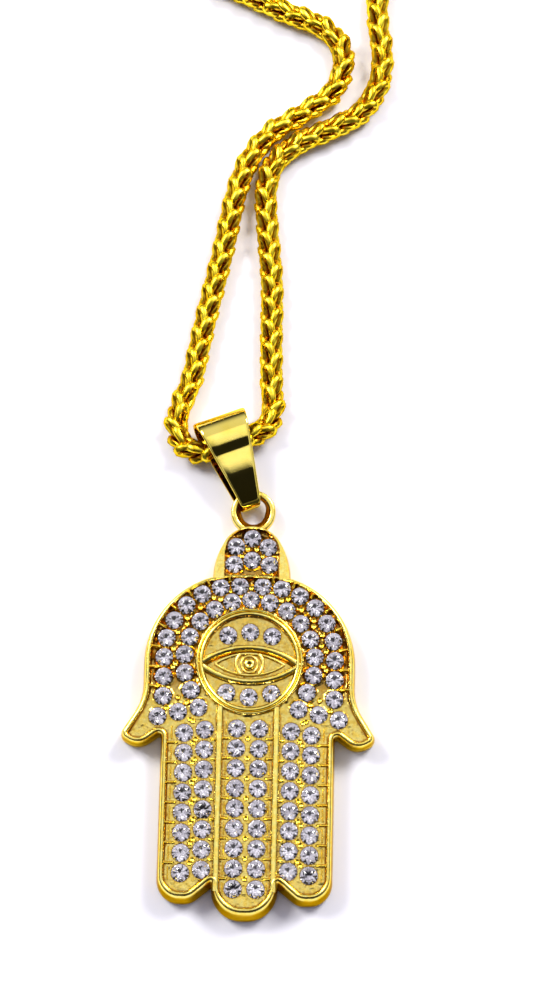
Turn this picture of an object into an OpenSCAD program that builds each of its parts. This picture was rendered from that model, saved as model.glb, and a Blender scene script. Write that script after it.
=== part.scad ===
// Hamsa hand pendant, cast in gold-coloured metal and set with small clear stones, with a folded
// bail on a whole wheat chain. It lies face up, the chain laid out above it.
// The origin is on the flat back below the centre of the eye. +Y runs up to the chain, +Z is up.

/* [Casting] */
// Thickness from the flat back to the top of the rim
hand_t = 3.2; // [2.9:0.1:3.6]
// Depth of the floor below the top of the rim
floor_drop = 0.75; // [0.6:0.05:0.9]
// Width of the raised rim
rim_w = 0.7; // [0.55:0.05:0.8]
// How far the side wall swells out beyond the rim
wall_flare = 0.3; // [0.1:0.05:0.4]

/* [Palm] */
// Width of the palm over its rim
palm_w = 23.4; // [23.2:0.1:24.4]
// Top of the palm's arch, above the centre of the eye
palm_top = 9.96; // [9.9:0.02:10.4]
// Radius of the palm's two shoulders
palm_r = 10.1; // [9.2:0.1:10.4]
// Width over the tips of the thumb and the little finger
ear_w = 28.1; // [27.6:0.1:28.8]
// How far those tips lie below the centre of the eye
ear_drop = 8.5; // [8.3:0.1:8.8]

/* [Fingers] */
// Width over the three long fingers
fingers_w = 19.1; // [18.9:0.1:19.8]
// How far the two side fingertips lie below the centre of the eye
side_tip = 26.67; // [26.3:0.1:27.2]
// Width of the middle finger over its two bars
mid_finger_w = 7.06; // [6.8:0.02:7.2]
// How far the middle fingertip lies below the centre of the eye
mid_tip = 28.57; // [28.4:0.1:29.2]
// Width of the bars beside the middle finger
bar_w = 0.67; // [0.5:0.01:0.75]

/* [Dome] */
// Width of the small dome above the palm
dome_w = 8.5; // [8.2:0.1:8.5]
// Height of the dome above the palm's arch
dome_rise = 5.44; // [5.42:0.02:5.7]
// Width of the sunk field inside the dome
dome_well_w = 6.1; // [6.08:0.02:6.3]
// Width of the dome's rim at its top
dome_lip = 0.32; // [0.26:0.02:0.32]

/* [Eye] */
// Outer diameter of the ring round the eye
eye_d = 12; // [11.9:0.1:12.1]
// Width of that ring
eye_ring_w = 0.9; // [0.7:0.05:1]
// Height of the upper eyelid's arch over the corners of the eye
lid_rise = 1.9; // [1.7:0.05:2.1]
// Width of the eyelids' ridges
lid_w = 0.5; // [0.4:0.05:0.6]
// Outer diameter of the iris
iris_d = 3.5; // [3.2:0.1:3.6]
// Outer diameter of the pupil's ring
pupil_d = 1.8; // [1.5:0.1:2]
// Diameter of the pit in the pupil
pit_d = 0.9; // [0.6:0.1:1]

/* [Stones] */
// Diameter of a cut stone
stone_d = 1.9; // [1.7:0.02:1.92]
// Height of the crown over the girdle
crown_h = 0.32; // [0.2:0.02:0.4]
// Depth of the pavilion under the girdle
pavilion_h = 0.8; // [0.6:0.05:0.9]
// Distance between stones along a finger
row_pitch = 2.2; // [2.14:0.01:2.22]
// Distance between stones along the palm's outer row
outer_pitch = 2.18; // [2.14:0.01:2.2]
// Distance between stones along the row round the eye
inner_pitch = 2.06; // [2.05:0.01:2.08]
// Clearance between a stone and its seat
seat_gap = 0.05; // [0.03:0.01:0.08]

/* [Loop] */
// Diameter of the hole in the top loop
loop_hole_d = 3.4; // [3.4:0.05:3.5]
// Width of the loop's metal
loop_w = 0.82; // [0.75:0.01:0.86]
// Thickness of the loop
loop_t = 1.2; // [1:0.05:1.3]

/* [Bail] */
// Length of the bail from its tip to its top
bail_l = 11.35; // [11:0.05:12]
// Width at the top
bail_top_w = 6.1; // [5.6:0.1:6.6]
// Width where the front leaf bends over
bail_fold_w = 5.4; // [5:0.05:5.6]
// Width at the tip
bail_tip_w = 2.15; // [1.8:0.05:2.2]
// Thickness of the strip it is folded from
bail_strip = 0.5; // [0.4:0.02:0.54]
// Depth of its eye, outside, round the chain
bail_top_d = 4.6; // [4.5:0.05:5]
// Depth of its tip, outside, round the loop
bail_tip_d = 2.5; // [2.48:0.02:2.6]
// Lean of the bail from the hand's middle line
bail_lean = 21; // [20:1:23]
// Play between the bail's tip and the loop
bail_play = 0.78; // [0.74:0.01:0.84]
// How far the bail hangs off the loop's middle, to the right
bail_shift = 0.08; // [0:0.02:0.1]

/* [Chain] */
// Diameter of the chain
chain_d = 2.84; // [2.6:0.02:2.9]
// Length of the clasp over its two cups
clasp_l = 22; // [20:1:26]
// Thickness of the clasp's link
clasp_t = 2.2; // [1.8:0.1:2.6]
// Width of the metal round the clasp's openings
clasp_bar = 1; // [0.8:0.05:1.1]
// Clearance between the clasp's cups and the chain
clasp_gap = 0.12; // [0.08:0.01:0.2]
// Wall of the clasp's cups
cup_wall = 0.4; // [0.3:0.05:0.6]

/* [Hidden] */
$fn = 48;

// Shortest radius left at a rounded corner
least_r = 0.03;
// How far one part of the casting runs into the next
sink = 0.3;
floor_z = hand_t - floor_drop;

// Section of the casting's edge, round from the back's corner over the rim and back below the floor.
// Each row: inset from the rim's outer edge, height.
edge_section = [
    [-wall_flare / 3, 0],
    [-wall_flare, hand_t / 8],
    [-0.8 * wall_flare, hand_t / 2],
    [0, hand_t - rim_w / 2],
    [rim_w / 5, hand_t - rim_w / 8],
    [rim_w / 2, hand_t],
    [rim_w * 4 / 5, hand_t - rim_w / 8],
    [rim_w, hand_t - rim_w / 2],
    [rim_w, floor_z - sink],
    [rim_w, 0]];

// Right half of the hand, from the middle fingertip up.
// Each row: x, y, radius of the corner, steps round it.
finger_r = fingers_w * 0.128;
hand_half = [
    [mid_finger_w / 2, -mid_tip, mid_finger_w * 0.46, 8],
    [mid_finger_w / 2, -mid_tip + mid_finger_w * 0.52, mid_finger_w * 0.02, 1],
    [fingers_w * 0.31, -side_tip, fingers_w * 0.105, 3],
    [fingers_w / 2, -side_tip, finger_r, 6],
    [fingers_w / 2, -ear_drop + 0.6, 0.35, 2],
    [ear_w * 0.43, -ear_drop - 1.25, 2, 4],
    [ear_w * 0.509, -ear_drop, 0.8, 5],
    [palm_w / 2, -ear_drop + 4.1, 6, 3],
    [palm_w / 2, palm_top, palm_r, 14]];

// Right half of the dome, in the same columns. It is cut off under the palm's arch.
dome_top = palm_top + dome_rise;
dome_cut = palm_top - 0.9 * rim_w;
dome_well_top = dome_top - dome_lip;
dome_half = [
    [dome_w / 2, dome_cut - 3, least_r, 1],
    [dome_w / 2, dome_top - dome_w * 0.43, dome_w * 0.92, 4],
    [dome_w / 4, dome_top, dome_w * 0.42, 5]];
dome_well_half = [
    [dome_well_w / 2, dome_cut - 1, least_r, 1],
    [dome_well_w / 2, dome_well_top, dome_well_w * 0.45, 8]];

// The loop's centre and the middle of its metal
loop_r = (loop_hole_d + loop_w) / 2;
loop_y = dome_top + 1.82;
loop_z = hand_t / 2;

// Centres of the round ends of the bail's side view, along the bail from the loop's centre
bail_tip_s = loop_hole_d / 2 - bail_play - bail_strip + bail_tip_d / 2;
bail_top_s = bail_tip_s - bail_tip_d / 2 + bail_l - bail_top_d / 2;
bail_lift = 0.05;
bail_top_z = bail_top_d / 2 + bail_lift;

// The clasp lies at the far end of the chain, its cups along X
cup_d = chain_d + 2 * clasp_gap + 2 * cup_wall;
cup_l = 5;
chain_in_cup = 3;
clasp_x = 5;
clasp_y = 240;
clasp_z = cup_d / 2 + 0.02;
chain_end = clasp_l / 2 - chain_in_cup;
// How far the chain runs straight out of the clasp's cups
chain_lead = 5;

// Route of the chain's middle line, once round from one cup of the clasp to the other.
// Each row: x, y, height.
chain_z = 1.45;
route = [
    [clasp_x - chain_end, clasp_y, clasp_z], [clasp_x - chain_end - chain_lead, clasp_y, clasp_z],
    [-16, 238.5, 1.7], [-25.5, 235.5, chain_z], [-34.5, 230.5, chain_z],
    [-43, 224, chain_z], [-51, 215.5, chain_z], [-58, 206, chain_z], [-63.5, 196, chain_z],
    [-67.5, 185.5, chain_z], [-69.5, 174.5, chain_z], [-70, 163.5, chain_z], [-69, 152.5, chain_z],
    [-66, 141.5, chain_z], [-62, 131, chain_z], [-56.5, 121, chain_z], [-49.5, 112, chain_z],
    [-41.5, 104, chain_z], [-32.5, 96.5, chain_z], [-23, 90.5, chain_z], [-12.5, 85, chain_z],
    [-4, 81, chain_z], [2.9, 77.8, chain_z], [6.9, 75.9, chain_z], [8.8, 73.6, chain_z],
    [9.1, 71, chain_z], [7.7, 67.8, chain_z], [4.2, 65, chain_z], [0.7, 62.4, chain_z],
    [-1.6, 59, chain_z], [-2.8, 55.5, chain_z], [-4.4, 47.5, chain_z], [-6.1, 39.5, chain_z],
    [-7.5, 32.5, chain_z], [-8.6, 28.6, 1.5], [-8.55, 26.4, 1.6], [-7.3, 24.65, 1.8],
    [-5.3, 24.3, 2.1], [-3, 25.15, 2.25], [-0.7, 26, 2.1], [0.85, 27.1, 1.8],
    [1.6, 28.8, 1.6], [1.7, 31, 1.5], [1.6, 37, chain_z], [1.5, 44, chain_z],
    [0.9, 50.5, chain_z], [0.6, 55, chain_z], [1.3, 58.4, chain_z], [3.8, 61.2, chain_z],
    [7.4, 63.2, chain_z], [10.8, 65.2, chain_z], [13.1, 68.4, chain_z], [13.8, 72, chain_z],
    [13.5, 75.6, chain_z], [13.3, 79, chain_z], [14.3, 83.5, chain_z], [17.5, 88.5, chain_z],
    [23.5, 93, chain_z], [32, 97.5, chain_z], [41.5, 102.5, chain_z], [51, 109, chain_z],
    [59.5, 117, chain_z], [66.5, 126.5, chain_z], [72, 137, chain_z], [76, 148, chain_z],
    [78, 159.5, chain_z], [78, 171, chain_z], [76.5, 182.5, chain_z], [73, 193.5, chain_z],
    [68, 204, chain_z], [61.5, 213.5, chain_z], [53.5, 222, chain_z], [44.5, 229.5, chain_z],
    [35, 235, chain_z], [26, 238.5, 1.7],
    [clasp_x + chain_end + chain_lead, clasp_y, clasp_z], [clasp_x + chain_end, clasp_y, clasp_z]];
tube_sides = 8;

// Plain vectors
function unit(v) = v / norm(v);
function left_of(v) = [-v.y, v.x];
function turned(v, angle) = [v.x * cos(angle) - v.y * sin(angle), v.x * sin(angle) + v.y * cos(angle)];

// Points round one corner of an outline that runs anticlockwise, set in by the inset
function corner_arc(before, corner, after, inset) =
    let (p = [corner.x, corner.y],
         d1 = unit(p - [before.x, before.y]),
         d2 = unit([after.x, after.y] - p),
         turn = atan2(cross(d1, d2), d1 * d2),
         side = sign(turn),
         r = max(corner[2] - side * inset, least_r),
         moved = p + inset * (left_of(d1) + left_of(d2)) / (1 + d1 * d2),
         start = moved - d1 * r * tan(abs(turn) / 2),
         middle = start + side * left_of(d1) * r,
         steps = corner[3])
    [for (k = [0:steps]) middle + turned(start - middle, turn * k / steps)];

// A half outline and its mirror image, as one closed ring of points
function outline(half, inset) =
    let (n = len(half),
         whole = concat(half, [for (i = [n - 1:-1:0]) [-half[i].x, half[i].y, half[i][2], half[i][3]]]),
         m = 2 * n)
    [for (i = [0:m - 1]) each corner_arc(whole[(i + m - 1) % m], whole[i], whole[(i + 1) % m], inset)];

// Faces that join a stack of rings into one closed skin
function skin_faces(rings, count) = concat(
    [[for (i = [0:count - 1]) i]],
    [for (j = [0:rings - 2]) for (i = [0:count - 1])
        let (next = (i + 1) % count)
        [j * count + i, (j + 1) * count + i, (j + 1) * count + next, j * count + next]],
    [[for (i = [count - 1:-1:0]) (rings - 1) * count + i]]);

// Faces that join rings into a closed frame, the last ring back to the first
function frame_faces(rings, count) =
    [for (j = [0:rings - 1]) for (i = [0:count - 1])
        let (next = (i + 1) % count, above = (j + 1) % rings)
        [j * count + i, above * count + i, above * count + next, j * count + next]];

// A flat-backed slab with a swelling wall, a rounded rim and a sunk floor
module rimmed_slab(half) {
    rings = [for (row = edge_section) [for (p = outline(half, row[0])) [p.x, p.y, row[1]]]];
    polyhedron([for (ring = rings) each ring], frame_faces(len(rings), len(rings[0])));
    linear_extrude(floor_z) polygon(outline(half, rim_w / 2));
}

// Section of a ridge on the floor: width, top
module ridge_section(w, top) {
    polygon([[-w / 2, floor_z - sink], [w / 2, floor_z - sink], [w / 2, top - w / 4],
             [w / 4, top], [-w / 4, top], [-w / 2, top - w / 4]]);
}

// The dome, as much of it as stands clear of the palm's arch. Its rim is broad at the sides.
module dome() {
    rings = [for (i = [0:5]) let (row = edge_section[i])
        [for (p = outline(dome_half, row[0])) [p.x, p.y, row[1]]]];
    difference() {
        intersection() {
            polyhedron([for (ring = rings) each ring], skin_faces(len(rings), len(rings[0])));
            translate([-dome_w, dome_cut, -hand_t]) cube([2 * dome_w, dome_w, 3 * hand_t]);
        }
        translate([0, 0, floor_z]) linear_extrude(hand_t) polygon(outline(dome_well_half, 0));
    }
}

// The two bars that set the middle finger off from its neighbours
module finger_bars() {
    bar_from = -mid_tip + mid_finger_w / 2 - sink;
    bar_to = -eye_d / 2 + eye_ring_w / 2;
    for (side = [-1, 1])
        translate([side * (mid_finger_w - bar_w) / 2, bar_to, 0])
            rotate([90, 0, 0])
                linear_extrude(bar_to - bar_from) ridge_section(bar_w, hand_t - 0.04);
}

// Ring round the eye, with a groove along its top
module eye_ring() {
    r = eye_d / 2;
    top = hand_t + 0.02;
    rotate_extrude($fn = 96)
        polygon([[r - eye_ring_w, floor_z - sink], [r, floor_z - sink], [r, top - 0.25],
                 [r - 0.1, top], [r - 0.35 * eye_ring_w, top], [r - 0.5 * eye_ring_w, top - 0.25],
                 [r - 0.65 * eye_ring_w, top], [r - eye_ring_w + 0.1, top],
                 [r - eye_ring_w, top - 0.25]]);
}

// The eye's two lids are arcs that meet under the ring
eye_y = -0.3;
lid_half_w = eye_d / 2 - eye_ring_w / 2;
lid_r = (lid_half_w * lid_half_w + lid_rise * lid_rise) / (2 * lid_rise);
lid_angle = asin(lid_half_w / lid_r);
lid_top = hand_t - 0.2;

module eyelid() {
    translate([0, lid_rise - lid_r, 0])
        rotate([0, 0, 90 - lid_angle])
            rotate_extrude(angle = 2 * lid_angle, $fn = 180)
                translate([lid_r, 0]) ridge_section(lid_w, lid_top);
}

module round_ridge(d, w, top) {
    rotate_extrude($fn = 48) translate([(d - w) / 2, 0]) ridge_section(w, top);
}

module eye() {
    translate([0, eye_y, 0]) {
        eyelid();
        rotate([0, 0, 180]) eyelid();
        round_ridge(iris_d, lid_w, lid_top + 0.05);
        round_ridge(pupil_d, (pupil_d - pit_d) / 2, lid_top + 0.1);
    }
}

// Loop that the bail hangs from
module loop() {
    w = loop_w / 2;
    t = loop_t / 2;
    edge = min(w, t) / 2;
    translate([0, loop_y, loop_z])
        rotate_extrude($fn = 64)
            translate([loop_r, 0])
                polygon([[-w, edge - t], [edge - w, -t], [w - edge, -t], [w, edge - t],
                         [w, t - edge], [w - edge, t], [edge - w, t], [-w, t - edge]]);
}

// Places of the stones. The outer row follows the palm's arch, the inner row the eye's ring.
row_inset = rim_w + 0.53 + stone_d / 2;
row_w = palm_w / 2 - row_inset;
row_top = palm_top - rim_w + 0.28 - stone_d / 2;
row_r = palm_r - row_inset - 0.07;
row_flat = row_w - row_r;

function on_arch(s) =
    s < row_flat ? [s, row_top]
    : s < row_flat + row_r * PI / 2
        ? [row_flat, row_top - row_r] + row_r * [sin((s - row_flat) / row_r * 180 / PI),
                                                 cos((s - row_flat) / row_r * 180 / PI)]
        : [row_w, row_top - row_r - (s - row_flat - row_r * PI / 2)];

inner_top_r = eye_d / 2 + 2 * seat_gap + stone_d / 2;
inner_side_r = inner_top_r + 0.25;
inner_step = 2 * asin(inner_pitch / 2 / inner_top_r);

function round_eye(angle) = [inner_side_r * sin(angle), inner_top_r * cos(angle)];

function both_sides(points) = [for (p = points) each [p, [-p.x, p.y]]];

outer_row = [for (i = [0:8]) on_arch(1.28 + i * outer_pitch)];
inner_row = [for (i = [1:7]) round_eye(i * inner_step)];
knuckle_row = [for (i = [0:2]) [fingers_w * 0.291 + i * 2.25, -5.2 - i * 0.54]];

// The fingers' columns. Each row: x, y of the first stone, how many.
side_middle = (fingers_w / 2 - rim_w + mid_finger_w / 2) / 2;
columns = [
    [1.25, -7.45, 9],
    [side_middle - 1.42, -7.65, 8],
    [side_middle + 0.86, -8.05, 8]];
finger_stones = [for (c = columns) for (i = [0:c[2] - 1]) [c[0], c[1] - i * row_pitch]];

dome_row = dome_well_top - 1.98;
dome_stones = [[1.8, dome_row], [1.98, dome_row - 2.03]];
dome_middle = [[0, dome_row + 0.96], [0, dome_row - 1.52]];
eye_stones = [[2.45, 2.95], [2.5, -3.5]];
eye_middle = [[0, 3.35], [0, -3.95]];

stone_places = concat(
    both_sides(concat(outer_row, inner_row, knuckle_row, finger_stones, dome_stones, eye_stones)),
    [round_eye(0)], dome_middle, eye_middle);

// A round stone with a table, twelve crown facets and a pointed back
girdle_z = floor_z - 0.03;
facets = 12;

module cut_stone() {
    r = stone_d / 2;
    // Each row: radius as a share of the girdle's, height over the girdle
    levels = [[0.12, -pavilion_h], [1, 0], [0.58, crown_h]];
    rings = [for (row = levels) [for (k = [0:facets - 1])
        let (angle = (k + 0.5) * 360 / facets)
        [r * row[0] * cos(angle), r * row[0] * sin(angle), girdle_z + row[1]]]];
    polyhedron([for (ring = rings) each ring], skin_faces(len(rings), facets));
}

seat_depth = pavilion_h + 0.15;

module seats() {
    for (p = stone_places)
        translate([p.x, p.y, girdle_z - seat_depth])
            cylinder(h = hand_t, d = stone_d + 2 * seat_gap, $fn = 24);
}

// Side view of the bail: two round ends and their common tangents, along Y and up
module drop_view(inset) {
    tip = [bail_tip_s, loop_z];
    top = [bail_top_s, bail_top_z];
    tip_r = bail_tip_d / 2 - inset;
    top_r = bail_top_d / 2 - inset;
    along = unit(top - tip);
    lean = acos((tip_r - top_r) / norm(top - tip));
    translate(tip) circle(tip_r);
    translate(top) circle(top_r, $fn = 64);
    polygon([tip + tip_r * turned(along, lean), tip + tip_r * turned(along, -lean),
             top + top_r * turned(along, -lean), top + top_r * turned(along, lean)]);
}

// Route of the chain as rings of points. Each ring stands square to the way the chain runs.
function heading(i) =
    let (last = len(route) - 1)
    unit(route[min(i + 1, last)] - route[max(i - 1, 0)]);

function tube_ring(i) =
    let (d = heading(i), across = unit(cross(d, [0, 0, 1])), up = cross(across, d))
    [for (k = [0:tube_sides - 1])
        let (angle = (k + 0.5) * 360 / tube_sides)
        route[i] + chain_d / 2 * (cos(angle) * across + sin(angle) * up)];

// One cup of the clasp, its mouth at the origin and facing back along X
module cup() {
    rotate([0, 90, 0])
        difference() {
            cylinder(h = cup_l, d = cup_d);
            translate([0, 0, -1]) cylinder(h = 1 + chain_in_cup + clasp_gap, d = chain_d + 2 * clasp_gap);
        }
}

// A slot's outline along X: two round ends and the straight between them
module oval(from, to, r) {
    end_r = min(r, (to - from) / 2);
    for (x = [from + end_r, to - end_r])
        translate([x, 0]) circle(end_r);
    translate([from + end_r, -end_r]) square([max(to - from - 2 * end_r, 0.01), 2 * end_r]);
}

module hand() {
    color("gold")
        difference() {
            union() {
                rimmed_slab(hand_half);
                dome();
                finger_bars();
                eye_ring();
                eye();
                loop();
            }
            seats();
        }
}

module stones() {
    color("gainsboro")
        for (p = stone_places)
            translate([p.x, p.y, 0]) cut_stone();
}

module bail() {
    tip_edge = bail_tip_s - bail_tip_d / 2;
    top_edge = bail_top_s + bail_top_d / 2;
    color("goldenrod")
        translate([0, loop_y, 0])
            rotate([0, 0, bail_lean]) translate([bail_shift, 0, 0])
                intersection() {
                    rotate([90, 0, 90])
                        linear_extrude(2 * bail_top_w, center = true)
                            difference() {
                                drop_view(0);
                                drop_view(bail_strip);
                            }
                    linear_extrude(2 * bail_top_d)
                        polygon([[bail_tip_w / 2, tip_edge], [bail_fold_w / 2, bail_top_s],
                                 [bail_top_w / 2, top_edge], [-bail_top_w / 2, top_edge],
                                 [-bail_fold_w / 2, bail_top_s], [-bail_tip_w / 2, tip_edge]]);
                }
}

module chain() {
    rings = [for (i = [0:len(route) - 1]) tube_ring(i)];
    color("gold")
        polyhedron([for (ring = rings) each ring], skin_faces(len(rings), tube_sides));
}

// A plain closed clasp between two cups, one piece
module clasp() {
    link_end = clasp_l - cup_l - 3.4;
    link_r = 0.6 * cup_d;
    ring_r = 0.5 * cup_d;
    color("gold")
        translate([clasp_x - clasp_l / 2, clasp_y, clasp_z]) {
            cup();
            translate([clasp_l, 0, 0]) rotate([0, 0, 180]) cup();
            translate([0, 0, -clasp_t / 2])
                linear_extrude(clasp_t)
                    difference() {
                        union() {
                            oval(cup_l - sink, link_end, link_r);
                            oval(link_end - sink, clasp_l - cup_l + sink, ring_r);
                        }
                        oval(cup_l + clasp_bar, link_end - clasp_bar, link_r - clasp_bar);
                        oval(link_end + clasp_bar, clasp_l - cup_l - clasp_bar, ring_r - clasp_bar);
                    }
        }
}

hand();
stones();
bail();
chain();
clasp();
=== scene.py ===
# %% [markdown]
# # A hamsa hand pendant on its chain
# This lesson dresses a imported CAD model of a necklace: a cast, gold-plated hand set with small
# clear stones, hanging by a folded bail from a wheat chain. It lies face up on a white sheet.
# The CAD model gives the sizes and places. Blender adds what a jeweller's eye looks for: rounded
# rims, beads and spurs between the stones, cut facets, woven links and worn gold, with painted
# shade in its crevices.

# %% Load the frame
import math

import bmesh
import bpy
import numpy as np
from mathutils import Matrix, Vector, geometry, noise


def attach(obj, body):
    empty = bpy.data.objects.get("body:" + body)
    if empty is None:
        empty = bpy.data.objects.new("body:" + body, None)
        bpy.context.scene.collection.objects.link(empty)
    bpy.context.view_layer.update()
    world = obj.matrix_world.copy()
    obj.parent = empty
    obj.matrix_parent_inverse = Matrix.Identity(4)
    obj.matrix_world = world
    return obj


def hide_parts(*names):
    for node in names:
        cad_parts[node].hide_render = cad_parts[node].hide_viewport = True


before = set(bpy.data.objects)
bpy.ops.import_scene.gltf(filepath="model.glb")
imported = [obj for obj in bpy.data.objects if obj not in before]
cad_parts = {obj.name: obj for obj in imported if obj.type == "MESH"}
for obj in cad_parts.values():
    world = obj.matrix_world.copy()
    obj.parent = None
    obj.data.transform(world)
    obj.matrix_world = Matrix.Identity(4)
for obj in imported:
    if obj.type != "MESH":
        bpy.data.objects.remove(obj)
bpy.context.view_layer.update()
print("CAD nodes:", ", ".join(sorted(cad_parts)))

# %% [markdown]
# ## Working in millimetres
# Jewellery is drawn in millimetres, while Blender keeps metres here. Every shape below is
# worked out in millimetres, and two small helpers turn it into a mesh and a finished piece.
# Each piece's object stays at the origin, so that its patterns stay where they are.

# %% Helpers for meshes and pieces
MM = 0.001


def new_mesh(name, points, faces):
    """A mesh from points in millimetres, its faces turned outwards."""
    mesh = bpy.data.meshes.new(name)
    mesh.from_pydata([Vector(p) * MM for p in points], [], faces)
    bm = bmesh.new()
    bm.from_mesh(mesh)
    bmesh.ops.recalc_face_normals(bm, faces=bm.faces)
    bm.to_mesh(mesh)
    bm.free()
    return mesh


def smooth_step(value, low, high):
    """0 below low, 1 above high and an easy curve between, for an array."""
    t = np.clip((value - low) / (high - low), 0, 1)
    return t * t * (3 - 2 * t)


def fade(value, low, high):
    """1 below low, 0 above high and an easy curve between."""
    return 1 - smooth_step(value, low, high)


def shade_and_stain(mesh, rule):
    """Gives each vertex a value from 0 to 1 of painted shade, and on the casting of brown specks too.
    The rule takes an array of places in millimetres.
    """
    places = np.empty(len(mesh.vertices) * 3)
    mesh.vertices.foreach_get("co", places)
    values = mesh.attributes.new("shade_and_stain", "FLOAT", "POINT")
    values.data.foreach_set("value", np.asarray(rule(places.reshape(-1, 3) / MM), float))
    return mesh


def add_piece(name, mesh, material, sharp=40, replaced=()):
    """Puts a mesh into the scene as a piece of the necklace, smooth up to the sharp angle."""
    piece = bpy.data.objects.new(name, mesh)
    bpy.context.scene.collection.objects.link(piece)
    if material:
        mesh.materials.clear()
        mesh.materials.append(material)
    mesh.shade_smooth()
    mesh.set_sharp_from_angle(angle=math.radians(sharp))
    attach(piece, "root")
    for node in replaced:
        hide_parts(node)
    triangles = sum(len(p.vertices) - 2 for p in mesh.polygons)
    print(f"{name}: {triangles} triangles")


# %% [markdown]
# ## The camera
# The necklace was seen from almost straight above, from a little in front of the fingertips.
# A long lens keeps the outline calm. The camera is placed by its three axes: right, up and
# back, rolled by the small tilt that the picture has.

# %% Place the camera
ELEVATION = math.radians(77.5)
ROLL = math.radians(1.3)
VIEW_DISTANCE = 277.8
AIM_RIGHT = 2.77
AIM_UP = 17.91
FACE_Z = 3.2

back = Vector((0, -math.cos(ELEVATION), math.sin(ELEVATION)))
level_right = Vector((1, 0, 0))
level_up = back.cross(level_right)
right = math.cos(ROLL) * level_right + math.sin(ROLL) * level_up
up = back.cross(right)
eye_point = Vector((0, 0, FACE_Z)) + AIM_RIGHT * right + AIM_UP * up + VIEW_DISTANCE * back

camera_data = bpy.data.cameras.new("camera")
camera_data.sensor_fit = "VERTICAL"
camera_data.sensor_height = 36
camera_data.lens = 90
camera_data.clip_start = 0.01
camera_data.clip_end = 50
camera = bpy.data.objects.new("camera", camera_data)
facing = Matrix((right, up, back)).transposed().to_4x4()
camera.matrix_world = Matrix.Translation(eye_point * MM) @ facing
bpy.context.scene.collection.objects.link(camera)
bpy.context.scene.camera = camera
print("camera at", [round(c, 1) for c in eye_point], "mm")

# %% [markdown]
# ## Nodes by the line
# The sky, the finishes and the Geometry Nodes trees are all made of nodes. Two helpers keep each
# node to a line or two: an input is named once, and gets either a plain value or a link from
# another node's output.

# %% Helpers for nodes


def feed(tree, socket, value):
    """Gives an input a link where the value is another node's output, or else the plain value."""
    if isinstance(value, bpy.types.NodeSocket):
        tree.links.new(value, socket)
    else:
        socket.default_value = value


def add_node(tree, kind, inputs=None, **settings):
    """Adds a node, sets its properties, and feeds its inputs by their name or number."""
    node = tree.nodes.new(kind)
    for name, value in settings.items():
        setattr(node, name, value)
    for label, value in (inputs or {}).items():
        feed(tree, node.inputs[label], value)
    return node


def mapped(tree, value, low, high, to_low, to_high):
    """Maps a value from one range to another, smoothly, and returns the socket."""
    node = add_node(tree, "ShaderNodeMapRange", interpolation_type="SMOOTHSTEP", inputs={
        "Value": value, "From Min": low, "From Max": high, "To Min": to_low, "To Max": to_high})
    return node.outputs["Result"]


def maths(tree, operation, first, second):
    """One step of arithmetic on sockets or plain numbers."""
    return add_node(tree, "ShaderNodeMath", {0: first, 1: second}, operation=operation).outputs[0]


def mixed(tree, factor, first, second):
    """A mix of two colours, each a socket or four numbers."""
    node = add_node(tree, "ShaderNodeMix", {"Factor": factor, 6: first, 7: second}, data_type="RGBA")
    return node.outputs[2]


def new_finish(name, numbers):
    """A new material, its tree and its shader, with the numbers set on the shader's own sockets."""
    material = bpy.data.materials.new(name)
    material.use_nodes = True
    shader = material.node_tree.nodes["Principled BSDF"]
    for label, value in numbers.items():
        shader.inputs[label].default_value = value
    return material, material.node_tree, shader


print("a node's inputs take values or links")

# %% [markdown]
# ## The light
# Gold shows what is round it. A white sheet below, a pale sky above and two soft windows beyond
# the chain, one on each side, give the bright yellow. A dark patch overhead, where a
# photographer would stand, gives the black that polished metal and cut stones need, and straight
# above the sky glows a little brighter. It is darker near the horizon, which draws brown lines
# down the sides of rounded metal. Only the lens sees a pale horizon, so that low views keep a
# pale background.

# %% Build the sky
SKY_COLOR = (0.94, 0.92, 1.03, 1)
SKY_STRENGTH = 0.86
# The sky is full where its direction points along this way by the second number, and nearly
# dark by the first
SKY_UP = Vector((0.04, 0.28, 0.96))
HAZE = (0.36, 0.9)
HAZE_LEVEL = 0.05
# A spot's edge lies between two angles from its middle, in degrees
DARK_WAY = Vector((0.1, -0.37, 0.92)).normalized()
DARK_EDGE = (23, 18)
DARK_LEVEL = 0.02
GLOW_WAY = Vector((0.05, 0.03, 1)).normalized()
GLOW_EDGE = (11, 5)
GLOW_LEVEL = 1.55

world = bpy.data.worlds.new("studio sky")
world.use_nodes = True
bpy.context.scene.world = world
sky = world.node_tree
sky.nodes.clear()
sky_way = add_node(sky, "ShaderNodeTexCoord")


def along(way):
    """How far the direction that is looked at points along a way."""
    node = add_node(sky, "ShaderNodeVectorMath", {0: sky_way.outputs["Generated"], 1: way},
                    operation="DOT_PRODUCT")
    return node.outputs["Value"]


def spot(way, edge, strength):
    """A round spot of a strength in the sky. Outside it the level is 1."""
    outer, inner = (math.cos(math.radians(angle)) for angle in edge)
    return mapped(sky, along(way), outer, inner, 1, strength)


sky_level = maths(sky, "MULTIPLY", spot(DARK_WAY, DARK_EDGE, DARK_LEVEL),
                  mapped(sky, along(SKY_UP), *HAZE, HAZE_LEVEL, 1.0))
sky_level = maths(sky, "MULTIPLY", sky_level, SKY_STRENGTH)
sky_level = maths(sky, "MULTIPLY", sky_level, spot(GLOW_WAY, GLOW_EDGE, GLOW_LEVEL))
lens_ray = add_node(sky, "ShaderNodeLightPath").outputs["Is Camera Ray"]
background = add_node(sky, "ShaderNodeBackground", {
    "Color": SKY_COLOR, "Strength": maths(sky, "MAXIMUM", sky_level, lens_ray)})
add_node(sky, "ShaderNodeOutputWorld", {0: background.outputs[0]})
print("sky nodes:", len(sky.nodes))

# %% Hang the two windows
WINDOW_SIZE = 210
WINDOW_AIM = Vector((0, 20, 0))
WINDOW_COLOR = (1.0, 0.975, 0.92)


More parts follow.
